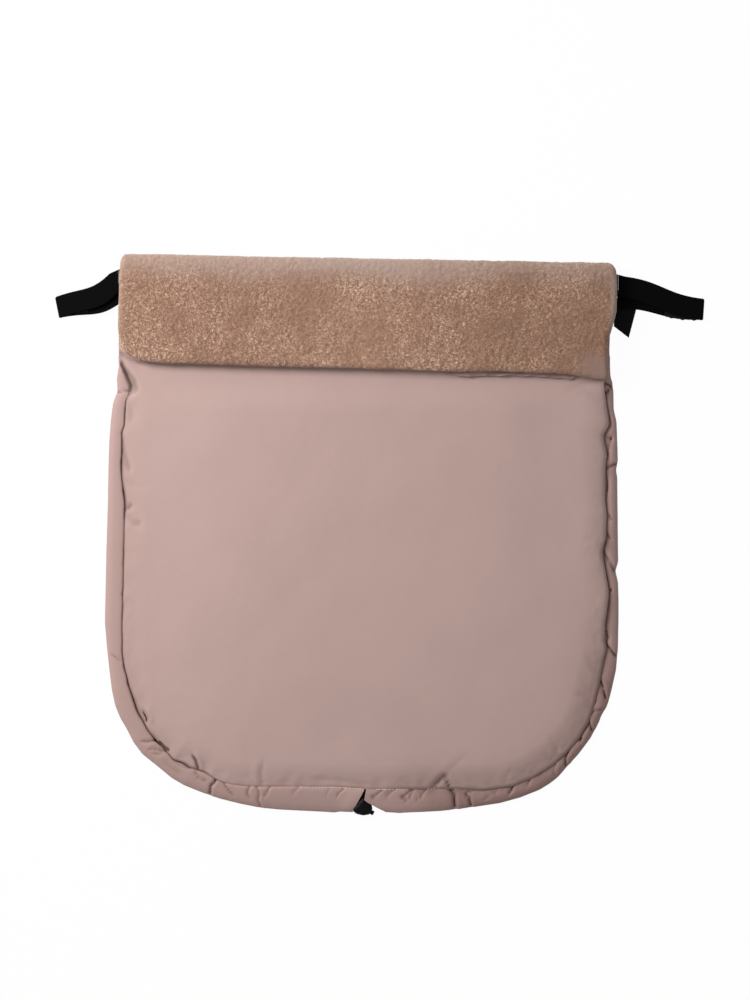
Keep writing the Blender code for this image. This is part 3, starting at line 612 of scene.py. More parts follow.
def tube(name: str, route: Array, radius: Array | float, sides: int = 10) -> Item:
    """Make a round cord along a route.

    Args:
        name: Name of the piece.
        route: Points of its middle line.
        radius: Half its thickness, all along or at each point.
        sides: Faces round it.

    Returns:
        The closed cord, with UV in metres.
    """
    tangent = unit(np.gradient(route, axis=0))
    side = unit(np.cross(tangent, (0.0, 0.0, 1.0)))
    up = np.cross(side, tangent)
    girth = np.broadcast_to(radius, len(route))

    def rule(column: Array, row: Array) -> Spots:
        angle = 2 * math.pi * column / sides
        around = side[row] * np.cos(angle)[:, None] + up[row] * np.sin(angle)[:, None]
        return tuple((route[row] + girth[row][:, None] * around).T)

    item = grid(name, sides, len(route) - 1, rule)
    lay_uv(item, 2 * math.pi * girth[0] / sides * np.arange(sides + 1), run_of(route))
    weld(item, fill=True)
    smooth(item)
    return item


def lay_uv(item: Item, across: Array, along: Array) -> None:
    """Write UV in metres from the column and row numbers.

    Args:
        item: A mesh made by grid.
        across: Distance across for each column number.
        along: Distance along for each row number.
    """
    column, row = cells(item)
    corner = np.empty(len(item.data.loops), np.int32)
    item.data.loops.foreach_get("vertex_index", corner)
    place = np.column_stack([across[column], along[row]])[corner]
    item.data.uv_layers[0].data.foreach_set("uv", place.astype(np.float32).ravel())


class Lay(Enum):
    """What a pattern follows: the object's own frame, or the cloth by its UV map."""

    PAGE = "Object"
    CLOTH = "UV"


@dataclass
class Socket:
    """A shader socket that does sums by adding Math nodes."""

    recipe: "Recipe"
    link: Any

    def _sum(self, operation: str, first: Any, second: Any) -> "Socket":
        """Add one Math node."""
        node = self.recipe.node("ShaderNodeMath", {"operation": operation},
                                {0: first, 1: second})
        return Socket(self.recipe, node.outputs[0])

    def __add__(self, other: Any) -> "Socket":
        """Add."""
        return self._sum("ADD", self, other)

    def __mul__(self, other: Any) -> "Socket":
        """Multiply."""
        return self._sum("MULTIPLY", self, other)

    def __sub__(self, other: Any) -> "Socket":
        """Subtract."""
        return self._sum("SUBTRACT", self, other)

    def __rsub__(self, other: Any) -> "Socket":
        """Subtract this from a number."""
        return self._sum("SUBTRACT", other, self)

    __radd__ = __add__
    __rmul__ = __mul__

    def wave(self) -> "Socket":
        """Sine, as 0 to 1."""
        return self._sum("SINE", self, 0.0) * 0.5 + 0.5

    def ripple(self, length: float) -> "Socket":
        """Waves of a length, as 0 to 1."""
        return (self * (2 * math.pi / length)).wave()

    def size(self) -> "Socket":
        """Size without its sign."""
        return self._sum("ABSOLUTE", self, 0.0)

    def limited(self) -> "Socket":
        """Keep between 0 and 1."""
        return self._sum("MINIMUM", self._sum("MAXIMUM", self, 0.0), 1.0)


class Recipe:
    """A material under construction."""

    def __init__(self, name: str) -> None:
        """Start a material with an empty Principled shader."""
        self.material = bpy.data.materials.new(name)
        self.material.use_nodes = True
        self.tree = self.material.node_tree
        self.shader = self.tree.nodes["Principled BSDF"]
        self.output = self.tree.nodes["Material Output"]

    def node(self, kind: str, settings: Inputs = None, inputs: Inputs = None) -> bpy.types.Node:
        """Add one node.

        Args:
            kind: The node's type.
            settings: Its own settings, set first; "stops" are a ramp's places and colours.
            inputs: Values or links of its sockets, by name or number.

        Returns:
            The new node.
        """
        node = self.tree.nodes.new(kind)
        for key, value in (settings or {}).items():
            if key == "stops":
                ramp = node.color_ramp
                for stop, (place, colour) in enumerate(value):
                    mark = ramp.elements[stop] if stop < 2 else ramp.elements.new(place)
                    mark.position = place
                    mark.color = (*colour, 1.0)
            else:
                setattr(node, key, value)
        for key, value in (inputs or {}).items():
            self.join(node.inputs[key], value)
        return node

    def join(self, target: bpy.types.NodeSocket, value: Any) -> None:
        """Link a socket, or set its value."""
        if isinstance(value, Socket):
            self.tree.links.new(value.link, target)
        elif isinstance(value, bpy.types.NodeSocket):
            self.tree.links.new(value, target)
        elif isinstance(value, tuple) and target.type == "RGBA":
            target.default_value = (*value, 1.0)
        else:
            target.default_value = value

    def value(self, kind: str, settings: Inputs = None, inputs: Inputs = None,
              output: Any = 0) -> Socket:
        """Add one node and give one of its outputs for sums."""
        return Socket(self, self.node(kind, settings, inputs).outputs[output])

    def noise(self, where: Any, scale: float, detail: float = 2.0,
              roughness: float = 0.5) -> Socket:
        """Noise from 0 to 1, by lumps for each metre."""
        return self.value("ShaderNodeTexNoise", {"noise_dimensions": "3D"},
                          {"Vector": where, "Scale": scale, "Detail": detail,
                           "Roughness": roughness})

    def blend(self, share: Any, first: Any, second: Any) -> Any:
        """Mix two colours."""
        node = self.node("ShaderNodeMix", {"data_type": "RGBA"},
                         {0: share, 6: first, 7: second})
        return node.outputs[2]

    def bump(self, height: Socket, distance: float, strength: float = 1.0,
             below: Any = None) -> Any:
        """A bump from a height of 0 to 1 over a distance, on top of another."""
        inputs = {"Height": height, "Distance": distance, "Strength": strength}
        if below is not None:
            inputs["Normal"] = below
        return self.node("ShaderNodeBump", None, inputs).outputs[0]

    def shade(self, **inputs: Any) -> Finish:
        """Set the Principled shader's sockets, with _ for a space, and finish."""
        for key, value in inputs.items():
            self.join(self.shader.inputs[key.replace("_", " ")], value)
        return self.material

    def split(self, where: Any) -> tuple[Socket, Socket, Socket]:
        """The three parts of a vector."""
        node = self.node("ShaderNodeSeparateXYZ", None, {0: where})
        return tuple(Socket(self, out) for out in node.outputs)

    def place(self, lay: Lay = Lay.PAGE) -> Any:
        """Place on the object or on its cloth, in metres."""
        return self.node("ShaderNodeTexCoord").outputs[lay.value]

    def attribute(self, name: str) -> Socket:
        """A value kept at the points of the mesh."""
        return self.value("ShaderNodeAttribute", {"attribute_name": name}, None, "Fac")


@dataclass(frozen=True)
class ShellCloth:
    """Smooth, closely woven polyester with a slight sheen, and painted shade mixed into its colour."""

    colour: Triple = (0.498, 0.346, 0.313)
    shade: Triple = (0.474, 0.328, 0.299)
    # The next two colours are painted shade: a soft tint, and a near-black for the shadow in creases and
    # seams.
    painted_shade_tint: Triple = (0.430, 0.289, 0.262)
    deep_painted_shade: Triple = (0.036, 0.013, 0.010)
    weft: Triple = (0.60, 0.45, 0.42)
    yarn: float = 0.34 * MM
    lay: Lay = Lay.PAGE

    def make(self, name: str) -> Finish:
        """Build the material."""
        mix = Recipe(name)
        x, y, _ = mix.split(mix.place(self.lay))
        weave = x.ripple(self.yarn) * y.ripple(self.yarn)
        body = mix.place()
        drift = mix.noise(body, 14.0, 3.0)
        crumple = mix.noise(body, 60.0, 3.0, 0.55)
        base = mix.blend((drift * 1.6 - 0.3).limited(), self.shade, self.colour)
        woven = mix.blend(weave * 0.10, base, self.weft)
        # Painted shade: a point attribute darkens the cloth towards the two shade colours along the seam, in
        # creases and under edges.
        fold = mix.attribute("fold")
        painted_shade_tint = mix.blend((fold * 6.0).limited(), woven, self.painted_shade_tint)
        colour = mix.blend((fold - 0.08).limited(), painted_shade_tint, self.deep_painted_shade)
        soft = mix.bump(crumple, 0.9 * MM, 0.35)
        normal = mix.bump(weave, 0.06 * MM, 0.5, soft)
        return mix.shade(Base_Color=colour, Roughness=0.50 + 0.10 * drift, Normal=normal,
                         Sheen_Weight=0.05, Sheen_Roughness=0.35, Specular_IOR_Level=0.2)


@dataclass(frozen=True)
class FleecePile:
    """Short, curly plush whose tips are paler than its roots."""

    root: Triple = (0.245, 0.132, 0.085)
    middle: Triple = (0.515, 0.302, 0.208)
    tip: Triple = (0.770, 0.545, 0.410)
    # Pale: the pile parted along the fold, with painted sheen there. Flat: painted shade on the flattened
    # corner.
    pale: Triple = (0.415, 0.298, 0.250)
    flat: Triple = (0.300, 0.188, 0.150)

    def make(self, name: str) -> Finish:
        """Build the material."""
        mix = Recipe(name)
        body = mix.place()
        wander = mix.node("ShaderNodeTexNoise", None,
                          {"Vector": body, "Scale": 210.0, "Detail": 1.0})
        bend = mix.node("ShaderNodeVectorMath", {"operation": "MULTIPLY_ADD"},
                        {0: wander.outputs["Color"], 1: (0.009,) * 3, 2: body}).outputs[0]
        curls = mix.noise(bend, 430.0, 3.0, 0.7)
        strands = mix.noise(bend, 300.0, 1.0)
        locks = (1.0 - (strands * 2.0 - 1.0).size() * 7.0).limited()
        patches = (mix.noise(body, 17.0) * 3.4 - 1.2).limited()
        middle = (1.0 - mix.split(body)[0].size() * 6.0).limited()
        lift = ((curls - 0.5) * (0.45 + 0.9 * patches) + locks * (0.06 + 0.26 * patches)
                + middle * 0.055 + 0.328).limited()
        shades = mix.node("ShaderNodeValToRGB",
                          {"stops": ((0.30, self.root), (0.70, self.tip),
                                     (0.50, self.middle))}, {0: lift}).outputs[0]
        # Painted sheen in the paleness along the fold and the sides, on top of the parted pile; painted
        # shade at the flattened corner.
        paleness, pressed = mix.attribute("paleness"), mix.attribute("pressed")
        colour = mix.blend((paleness * (0.55 + 0.8 * curls)).limited(), shades, self.pale)
        colour = mix.blend(pressed, colour, self.flat)
        rough = (1.0 - paleness * 0.8) * (1.0 - pressed)
        coarse = mix.bump(locks * rough, 0.9 * MM, 0.6)
        normal = mix.bump(curls * rough, 0.9 * MM, 0.9, coarse)
        return mix.shade(Base_Color=colour, Roughness=0.95, Normal=normal, Sheen_Weight=0.45,
                         Sheen_Roughness=0.5, Sheen_Tint=(0.95, 0.82, 0.74),
                         Specular_IOR_Level=0.1)


@dataclass(frozen=True)
class Trim:
    """A small piece's finish.

    Its pattern gives the light colour's share, the roughness, and the relief's height.
    """

    pattern: Callable[[Recipe], tuple[Any, Any, Socket]]
    colour: Triple
    light: Triple
    relief: float
    strength: float = 0.9
    specular: float = 0.12
    metal: float = 0.0

    def make(self, name: str) -> Finish:
        """Build the material."""
        mix = Recipe(name)
        share, rough, height = self.pattern(mix)
        return mix.shade(Base_Color=mix.blend(share, self.colour, self.light), Roughness=rough,
                         Normal=mix.bump(height, self.relief, self.strength),
                         Specular_IOR_Level=self.specular, Metallic=self.metal)


def webbing(mix: Recipe, rib: float = 1.7 * MM, yarn: float = 0.9 * MM) -> tuple[Any, ...]:
    """Woven polyester tape with ribs across it."""
    u, v, _ = mix.split(mix.place(Lay.CLOTH))
    zigzag = u.ripple(4 * yarn) * 0.4
    weave = (v * (2 * math.pi / rib) + zigzag * 6.0).wave() * 0.6 + u.ripple(yarn) * 0.4
    fluff = mix.noise(mix.place(), 900.0, 2.0, 0.6)
    return (weave * 0.4 + fluff * 0.5 - 0.2).limited(), 0.72 + 0.2 * fluff, weave


def grip_tape(mix: Recipe) -> tuple[Any, ...]:
    """Hook and loop tape: a dense field of tiny loops."""
    cells = mix.value("ShaderNodeTexVoronoi", {"feature": "F1"},
                      {"Vector": mix.place(), "Scale": 1100.0}, "Distance")
    return cells.limited(), 0.75, cells


def satin(mix: Recipe, thread: float = 0.45 * MM, pick: float = 0.30 * MM) -> tuple[Any, ...]:
    """Bare satin label tape."""
    x, y, _ = mix.split(mix.place(Lay.CLOTH))
    threads, picks = x.ripple(thread), y.ripple(pick)
    return threads * 0.5, 0.55 + 0.1 * picks, threads * 0.6 + picks * 0.4


def braid(mix: Recipe, strand: float = 1.1 * MM) -> tuple[Any, ...]:
    """Round braided cord."""
    u, v, _ = mix.split(mix.place(Lay.CLOTH))
    woven = (u + v).ripple(strand) * (u - v).ripple(strand)
    return woven, 0.7, woven


def moulded(mix: Recipe) -> tuple[Any, ...]:
    """Moulded plastic with a fine spark-eroded grain."""
    wear = mix.noise(mix.place(), 220.0)
    return (wear - 0.4).limited(), 0.34 + 0.16 * wear, mix.noise(mix.place(), 2600.0, 2.0, 0.6)


def drawn_wire(mix: Recipe) -> tuple[Any, ...]:
    """Drawn steel wire."""
    streaks = mix.noise(mix.place(), 1800.0, 2.0, 0.7)
    return streaks * 0.4, 0.22 + 0.2 * streaks, streaks


def twisted(mix: Recipe) -> tuple[Any, ...]:
    """Twisted polyester thread."""
    twist = mix.noise(mix.place(), 1500.0, 1.0)
    return twist, 0.6, twist


class Wardrobe:
    """The finishes that the pieces share, each made once."""

    def __init__(self) -> None:
        """Make every finish."""
        self.shell = ShellCloth().make("shell_cloth_panel")
        # The casings' cloth is the panel's cloth painted darker and a little redder, as painted shade where
        # the casings slope away from the lamp.
        rim = ShellCloth(colour=(0.428, 0.286, 0.258), shade=(0.405, 0.268, 0.242),
                         painted_shade_tint=(0.380, 0.238, 0.214), lay=Lay.CLOTH)
        self.casing = rim.make("shell_cloth_rim")
        self.pile = FleecePile().make("plush_pile")
        self.web = Trim(webbing, (0.0010, 0.0010, 0.0012), (0.0035, 0.0035, 0.0040),
                        0.22 * MM, specular=0.06).make("woven_webbing")
        self.grip = Trim(grip_tape, (0.010, 0.010, 0.011), (0.002, 0.002, 0.002),
                         0.4 * MM).make("grip_tape")
        self.tape = Trim(satin, (0.0022, 0.0020, 0.0022), (0.0075, 0.0065, 0.0070),
                         0.08 * MM, 0.7).make("satin_tape")
        self.cord = Trim(braid, (0.0030, 0.0030, 0.0030), (0.0100, 0.0100, 0.0110),
                         0.25 * MM).make("braided_cord")
        self.plastic = Trim(moulded, (0.0035, 0.0035, 0.0036), (0.009, 0.009, 0.010),
                            0.05 * MM, 0.6, 0.10).make("moulded_plastic")
        self.steel = Trim(drawn_wire, (0.55, 0.55, 0.54), (0.30, 0.29, 0.28), 0.0,
                          specular=0.5, metal=1.0).make("spring_wire")
        self.thread = Trim(twisted, (0.78, 0.63, 0.58), (0.55, 0.42, 0.38), 0.1 * MM, 0.8,
                           0.5).make("sewing_thread")


def dress(item: Item, material: Finish) -> None:
    """Give a piece one finish all over."""
    item.data.materials.clear()
    item.data.materials.append(material)


def install(item: Item, material: Finish,
            body: str = "", nodes: Sequence[str] = ()) -> None:
    """Dress a piece and take it into the frame.

    Args:
        item: The piece.
        material: Its finish.
        body: The body that it rides, unless it is blended between two.
        nodes: The frame's pieces that it stands for.
    """
    dress(item, material)
    if nodes:
        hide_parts(*nodes)
    if body:
        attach(item, body)
    LOG.info("piece %s: %d faces", item.name, len(item.data.polygons))


@dataclass
class PadPlan:
    """The panel's outline on the page as a four-sided patch that a grid can fill."""

    columns: int = 210
    rows: int = 230
    jog: float = 18 * MM
    waist: float = 4.6 * MM

    def side_line(self, side: int) -> Array:
        """One side, from the hinge line down the seam to the middle of the round end."""
        top = FORM.hinge_y - 0.1 * MM
        jog_y = FORM.rim_top_y + self.jog
        upper = [(float(FORM.side(y, side)) - self.waist * float(ease((0.265 - y) / 0.02))
                  * (side > 0), y) for y in np.linspace(top, jog_y, 14)]
        cover = VIEW.line(COVERS[side])
        seam = VIEW.line(SEAMS[side][2:])
        return np.concatenate([upper, cover, seam])

    def __post_init__(self) -> None:
        """Read the sides and split each at the lower corner."""
        self.lines = {side: Course(self.side_line(side), 3 * MM) for side in (-1, 1)}
        self.corner = {side: self._corner(line) for side, line in self.lines.items()}
        seam = np.concatenate([self.lines[-1].points, self.lines[1].points[::-1]])
        self.seam = Course(seam, MM)

    @staticmethod
    def _corner(line: Course) -> float:
        """Distance along a side at which it has turned half way into the round end."""
        steep = np.abs(line.tangent[:, 1]) < math.sin(math.radians(45))
        below = line.points[:, 1] < FORM.curve_y
        return float(line.run[np.argmax(steep & below)])

    @staticmethod
    def shares(count: int, packing: float) -> Array:
        """Shares from 0 to 1 that lie closer together at both ends."""
        even = np.linspace(0.0, 1.0, count + 1)
        return even - packing * np.sin(2 * math.pi * even) / (2 * math.pi)

    def spots(self, columns: int, rows: int) -> tuple[Array, Array]:
        """Fill the outline with a grid.

        Args:
            columns: Cells across.
            rows: Cells up.

        Returns:
            The x and y of every point, x running fastest.
        """
        across = self.shares(columns, 0.45)
        up = self.shares(rows, 0.35)
        left = self.lines[-1].at((1 - up) * self.corner[-1])
        right = self.lines[1].at((1 - up) * self.corner[1])
        rest = {side: line.length - self.corner[side] for side, line in self.lines.items()}
        whole = rest[-1] + rest[1]
        run = across * whole
        low = np.where((run < rest[-1])[:, None],
                       self.lines[-1].at(self.corner[-1] + run),
                       self.lines[1].at(self.lines[1].length - (run - rest[-1])))
        high = left[-1] + (right[-1] - left[-1]) * across[:, None]
        u = across[None, :, None]
        v = up[:, None, None]
        patch = ((1 - u) * left[:, None] + u * right[:, None]
                 + (1 - v) * low[None] + v * high[None]
                 - ((1 - u) * (1 - v) * low[0] + u * (1 - v) * low[-1]
                    + (1 - u) * v * high[0] + u * v * high[-1]))
        return patch[..., 0].ravel(), patch[..., 1].ravel()

    @staticmethod
    def drawn_in(x: Array, y: Array, inset: float) -> tuple[Array, Array]:
        """Move places towards the middle by a distance."""
        reach = np.hypot(x, y)
        return x * (1 - inset / reach), y * (1 - inset / reach)

    def layer(self, name: str, rows: int, spots: Spots, rings: Sequence[tuple[float, float]],
              covered: float, fold: Array | float = 0.0) -> Item:
        """Model one layer on the patch and close it.

        Args:
            name: Name of the piece.
            rows: Cells up the patch, of which the last ends at the hinge.
            spots: x, y and z of the layer's points, before the skew.
            rings: How far each closing ring is drawn in, and its height on the open panel.
            covered: Height of the rings under the cuff.
            fold: How much painted shade darkens each point.

        Returns:
            The closed layer.
        """
        x, y, z = spots
        columns = len(x) // (rows + 1) - 1

        def face(column: Array, row: Array) -> Spots:
            spot = row * (columns + 1) + column
            return x[spot], y[spot] + FORM.skew(x[spot], y[spot]), z[spot]

        def ring(inset: float, level: float) -> Rule:
            def rule(column: Array, row: Array) -> Spots:
                spot = row * (columns + 1) + column
                px, py = self.drawn_in(x[spot], y[spot], inset)
                py = np.where(row == rows, y[spot], py)
                rise = (covered - level) * FORM.under_cuff(py)
                return px, py + FORM.skew(px, py), level + rise
            return rule

        item = grid(name, columns, rows, face)
        note(item, "fold", np.broadcast_to(fold, len(x)))
        skirt(item, [ring(inset * MM, level * MM) for inset, level in rings])
        return item


PANEL_CREASES = crease_table(
    ((122, 364, 127, 374, 132, 386, 130, 393), 3.4, 3.2, 0.1, "ab", 0.8),
    ((127, 372, 134, 381, 136, 389, 131, 397), 2.0, 4.4, 0.0, "a", 0.42),
    ((122, 354, 134, 361, 150, 366), 2.0, 2.6, 0.4, "a", 0.3),
    ((129, 402, 131, 414, 129, 428), 1.0, 7.0, 0.0, "", 0.20),
    ((124, 450, 128, 464, 132, 475), 2.1, 3.0, 0.0, "a", 0.36),
    ((125, 510, 130, 507, 133, 502), 2.2, 2.6, 0.0, "a", 0.5),
    ((126, 516, 136, 523, 146, 522), 1.2, 7.0, 0.0, "a", 0.20),
    ((126, 484, 138, 486, 150, 488), 0.5, 4.0, 0.0, "a", 0.08),
    ((141, 706, 147, 718, 146, 726), 1.6, 2.4, 0.5),
    ((145, 726, 157, 743, 176, 759), 1.5, 7.0, 0.0, "", 0.16),
    ((191, 752, 196, 760, 199, 771), 1.9, 2.0, 0.5, "b"),
    ((262, 786, 261, 772, 264, 756), 1.0, 2.6, 0.5, "a"),
    ((433, 787, 440, 779, 448, 770), 2.4, 3.0, 0.2, "a"),
    ((444, 776, 456, 764, 470, 752), 0.6, 3.6, 0.4),
    ((450, 788, 446, 780, 447, 771), 1.8, 2.0, 0.3, "a"),
    ((504, 784, 508, 774, 514, 766), 0.5, 3.0, 0.4, "a"),
    ((364, 787, 350, 781, 300, 778), 0.5, 3.0, 0.4, "a"),
    ((560, 757, 556, 744, 545, 733), 0.7, 3.2, 0.5, "a"),
    ((592, 706, 584, 696, 572, 694), 0.8, 3.2, 0.5, "a"),
    ((600, 676, 592, 664, 584, 648), 0.6, 3.2, 0.5, "a"),
    ((604, 548, 594, 540, 580, 538), 0.7, 3.0, 0.5, "a"),
    ((602, 400, 586, 392, 570, 396), 0.7, 4.0, 0.4, "a"),
    ((604, 376, 580, 386, 560, 392), 0.8, 4.0, 0.3, "a"),
)


@dataclass
class PaddedPanel:
    """The smooth shell cloth over its wadding, puckered where it is gathered at the seam."""

    plan: PadPlan
    noise: ClothNoise = field(default_factory=lambda: ClothNoise(11))
    rings: Line = ((0.3, 5.9), (3.0, 6.6), (9.0, 8.3))
    creases: tuple[Crease, ...] = PANEL_CREASES

    def height(self, x: Array, y: Array, inset: Array) -> tuple[Array, Array]:
        """Top of the cloth.

        Args:
            x: Places across the page.
            y: Places up the page.
            inset: Distance of each place from the seam.

        Returns:
            The height of each place, and how much painted shade it takes.
        """
        open_share = 1 - FORM.under_cuff(y)
        away = FORM.away(x, y)
        low_right = ease((away - 0.5) / 0.3) * ease((-0.06 - y) / 0.1)
        z = FORM.shell_height(inset, y, 0.4 + 0.6 * ease((-0.10 - y) / 0.12)) + FORM.shell
        z -= 1.4 * MM * np.clip(1 - inset / (2.4 * MM), 0.0, 1.0) ** 2 * open_share
        turn = np.arctan2(y, x) * 0.3
        # Painted shade along the seam's line, its strength and width wandering along it.
        seam = seam_shade(x, y) * (1 + 0.35 * self.noise.at(turn, 0 * x, 12 * MM))
        wide = (1.2 + 0.7 * self.noise.at(turn, 0 * x, 19 * MM)) * MM
        wide = wide * np.where(x < 0, 0.6 + 0.8 * seam_shade(x, y), 1.0)
        tuck = FORM.leeward(x, y) * (1 - ease((inset - 8 * MM) / (70 * MM)))
        z += 1.4 * MM * tuck * ease(inset / (3.5 * MM)) * open_share
        # Painted shade in a band inside the left seam, and in a broad band inside the lower right seam.
        shaded = (0.13 * ease(-0.4 - 2 * away) * bell(inset, 24 * MM)
                  + 0.12 * low_right * bell(inset - 12 * MM, 30 * MM))
        fold = (seam * bell(inset, wide) + shaded) * open_share
        # Each crease adds the painted shade in its valley.
        for crease in self.creases:
            rise, deep_painted_shade = crease.profile(x, y)
            z += rise * (0.35 + 0.65 * ease(inset / (4 * MM)))
            fold = np.maximum(fold, deep_painted_shade)
        gather = np.where(x < 0, 0.6, 1.0) * ease((0.20 - y) / 0.3)
        pucker = (self.noise.at(turn, inset * 0.25, 9 * MM)
                  + 0.5 * self.noise.at(turn, inset, 5 * MM))
        z += 0.75 * MM * gather * pucker * bell(inset - 5 * MM, 11 * MM)
        swell = self.noise.at(x, y, 75 * MM) + 0.45 * self.noise.at(y, x, 34 * MM)
        z += 0.55 * MM * open_share * ease(inset / (20 * MM)) * swell
        return z, fold

    def build(self, wardrobe: Wardrobe) -> None:
        """Model and dress the panel."""
        x, y = self.plan.spots(self.plan.columns, self.plan.rows)
        inset = self.plan.seam.nearest(np.column_stack([x, y]))
        z, fold = self.height(x, y, inset)
        x, y = self.plan.drawn_in(x, y, -0.9 * MM * ease(1 - inset / (4 * MM)) * (y < 0.19))
        item = self.plan.layer("panel_pad", self.plan.rows, (x, y, z), self.rings, 8.3 * MM, fold)
        smooth(item, 60)
        install(item, wardrobe.shell, "blanket", ("outer_shell", "wadding"))


@dataclass
class PlushLining:
    """The plush underside of the body."""

    plan: PadPlan
    noise: ClothNoise = field(default_factory=lambda: ClothNoise(23))
    columns: int = 250
    rows: int = 270
    rings: Line = ((0.4, 5.0), (4.0, 6.2), (10.0, 8.0))

    def build(self, wardrobe: Wardrobe) -> None:
        """Model and dress the lining."""
        x, y = self.plan.spots(self.columns, self.rows)
        edge = self.plan.seam.nearest(np.column_stack([x, y]))
        slit = bell(x - 4 * MM, 12 * MM) * (y < -0.2)
        pull = 1.2 * MM - 3.2 * MM * ease((0.196 - y) / 0.008) * (1 - slit)
        pull = pull * (y < FORM.hinge_y - 1 * MM) * ease(1 - edge / (6 * MM))
        x, y = self.plan.drawn_in(x, y, pull)
        nap = 0.5 * self.noise.at(x, y, 4.2 * MM) + 0.3 * self.noise.at(y, x, 2.4 * MM)
        curl = FORM.fleece / 2 * (1 - np.sqrt(1 - (1 - np.minimum(edge / (4 * MM), 1)) ** 2))
        z = np.maximum(0.0, 0.7 * MM + 0.7 * MM * nap) * (1 - ease((y - 0.300) / 0.009)) + curl
        item = self.plan.layer("lining_pile", self.rows, (x, y, z), self.rings, FORM.fleece)
        flip(item)
        smooth(item, 60)
        install(item, wardrobe.pile, "blanket", ("lining_fleece",))


@dataclass
class RimCasing:
    """One gathered tube of shell cloth along the edge, with its mouth at the slit."""

    side: int
    mouth: Line
    noise: ClothNoise
    calm: float
    creases: tuple[Crease, ...]
    around: int = 44
    spacing: float = 1.5 * MM
    wall: float = 0.9 * MM
    girth: float = 55 * MM
    end_reach: float = 24 * MM
    mouth_reach: float = 60 * MM
    meeting: float = 4.2 * MM
    bite: float = 1.45
    welt: float = 0.2
    stations: tuple[float, ...] = (-1.0, -0.6, 0.0, 0.6, 1.0)
    full: tuple[float, ...] = (10.0, 10.9, 10.8, 10.0, 8.6)
    slack: tuple[float, ...] = (8.0, 7.5, 6.4, 4.8, 2.9)
    tuck: tuple[float, ...] = (-2.4, -1.2, 0.5, 0.8, 0.6)

    def __post_init__(self) -> None:
        """Read the outer edge and the seam, and match each place on one to the other."""
        self.name = "left" if self.side < 0 else "right"
        self.edge = Course(VIEW.line(EDGES[self.side]), 3 * MM)
        self.seam = Course(VIEW.line(SEAMS[self.side]), 3 * MM)
        nearest = distances(self.edge.points, self.seam.points).argmin(axis=1)
        match = np.maximum.accumulate(self.seam.run[nearest])
        kernel = np.hanning(19)[1:-1] / np.hanning(19).sum()
        self.match = np.convolve(np.pad(match, 8, "edge"), kernel, "valid")

    def mouth_x(self, rise: Array) -> Array:
        """How far across the cut mouth is at a height above the lower edge."""
        across, heights = np.array(self.mouth).T * MM
        return np.interp(rise, heights, across)

    def section(self, along: Array, angle: Array) -> Array:
        """Places on the tube.

        Args:
            along: Distance along the outer edge.
            angle: Turn round the section, 0 at the outer edge and a quarter at the top.

        Returns:
            A row for each place: x, y and z, the outward direction on the page, its shares
            across and up the section, and how far it is from the casing's upper end.
        """
        outer = self.edge.at(along)
        inner = self.seam.at(np.interp(along, self.edge.run, self.match))
        width = np.linalg.norm(outer - inner, axis=1)
        out = (outer - inner) / width[:, None]
        cover = ease((along - 6 * MM) / self.end_reach)
        lee = ease(0.35 + 0.9 * FORM.away(*outer.T))
        tucked = FORM.leeward(*outer.T) * ease((0.16 - outer[:, 1]) / 0.04)
        inward = np.cos(angle) < 0
        across = np.abs(np.cos(angle)) ** np.where(inward, 0.5, 0.62 + 0.24 * lee)
        across = across * np.sign(np.cos(angle))
        up = np.sign(np.sin(angle)) * np.abs(np.sin(angle)) ** (0.6 + 0.2 * lee * ~inward)
        skewed = across - 0.34 * (1 - across ** 2) * (up > 0) * (1 - lee)
        middle = (outer + inner) / 2
        half = width / 2 + 0.25 * MM
        jog = 0.5 * MM * self.noise.at(along, 0 * along, 9 * MM) * (across < -0.5)
        place = middle + out * (half * skewed - 0.3 * MM + jog)[:, None]
        tall = np.interp(across, self.stations, self.full) * (1 - lee)
        tall = tall + np.interp(across, self.stations, self.slack) * lee
        tall = tall + np.interp(across, self.stations, self.tuck) * tucked
        tall = (tall + 3.6 * bell(self.edge.length - along, self.end_reach)) * MM
        belly = 0.2 * MM + 0.38 * tall
        z = belly + up * np.where(up > 0, tall - belly, belly - 0.2 * MM)
        return np.column_stack([place, z, out, across, up, cover])

    def gather(self, along: Array, across: Array, up: Array,
               spots: Array) -> tuple[Array, Array]:
        """How far the cloth stands out from the plain tube, and how much painted shade it takes."""
        near_seam = ease((1.1 - across) / 1.9)
        ripple = (0.45 * self.noise.at(along, across * 6 * MM, 11 * MM)
                  + 0.45 * self.noise.at(along, across * 9 * MM, 23 * MM)
                  + 0.15 * self.noise.at(along, across * 3 * MM, 5 * MM))
        rise = 1.0 * MM * self.calm * ripple * (0.25 + 0.75 * near_seam)
        x, y = spots[:, 0], spots[:, 1]
        # Painted shade along the seam, reaching further across in patches on the side away from the lamp,
        # more on the right and at the lower right, and in the creases.
        patch = ease(0.5 + 0.9 * self.noise.at(along, 7 * MM + 0 * along, 17 * MM))
        reach = 0.13 + (0.3 + 0.4 * patch) * FORM.leeward(x, y)
        side = 0.34 * ease((x - 0.1) / 0.1) * ease((y + 0.16) / 0.08)
        fold = seam_shade(x, y) + side + 0.15 * self.noise.at(along, 0 * along, 14 * MM)
        fold = np.maximum(fold, 0.0) * bell(across + 1, reach) * (up > 0.2)
        fold = fold + 0.22 * ease((x - 0.03) / 0.08) * ease((-0.12 - y) / 0.08)
        for crease in self.creases:
            dip, deep_painted_shade = crease.profile(x, y, self.welt)
            rise = rise + self.bite * dip * ease((up + 0.35) / 0.7)
            fold = np.maximum(fold, deep_painted_shade * (up > -0.2))
        return rise, fold

    def build(self, wardrobe: Wardrobe) -> None:
        """Model and dress the casing."""
        rows = int(self.edge.length / self.spacing)
        painted_shades = []

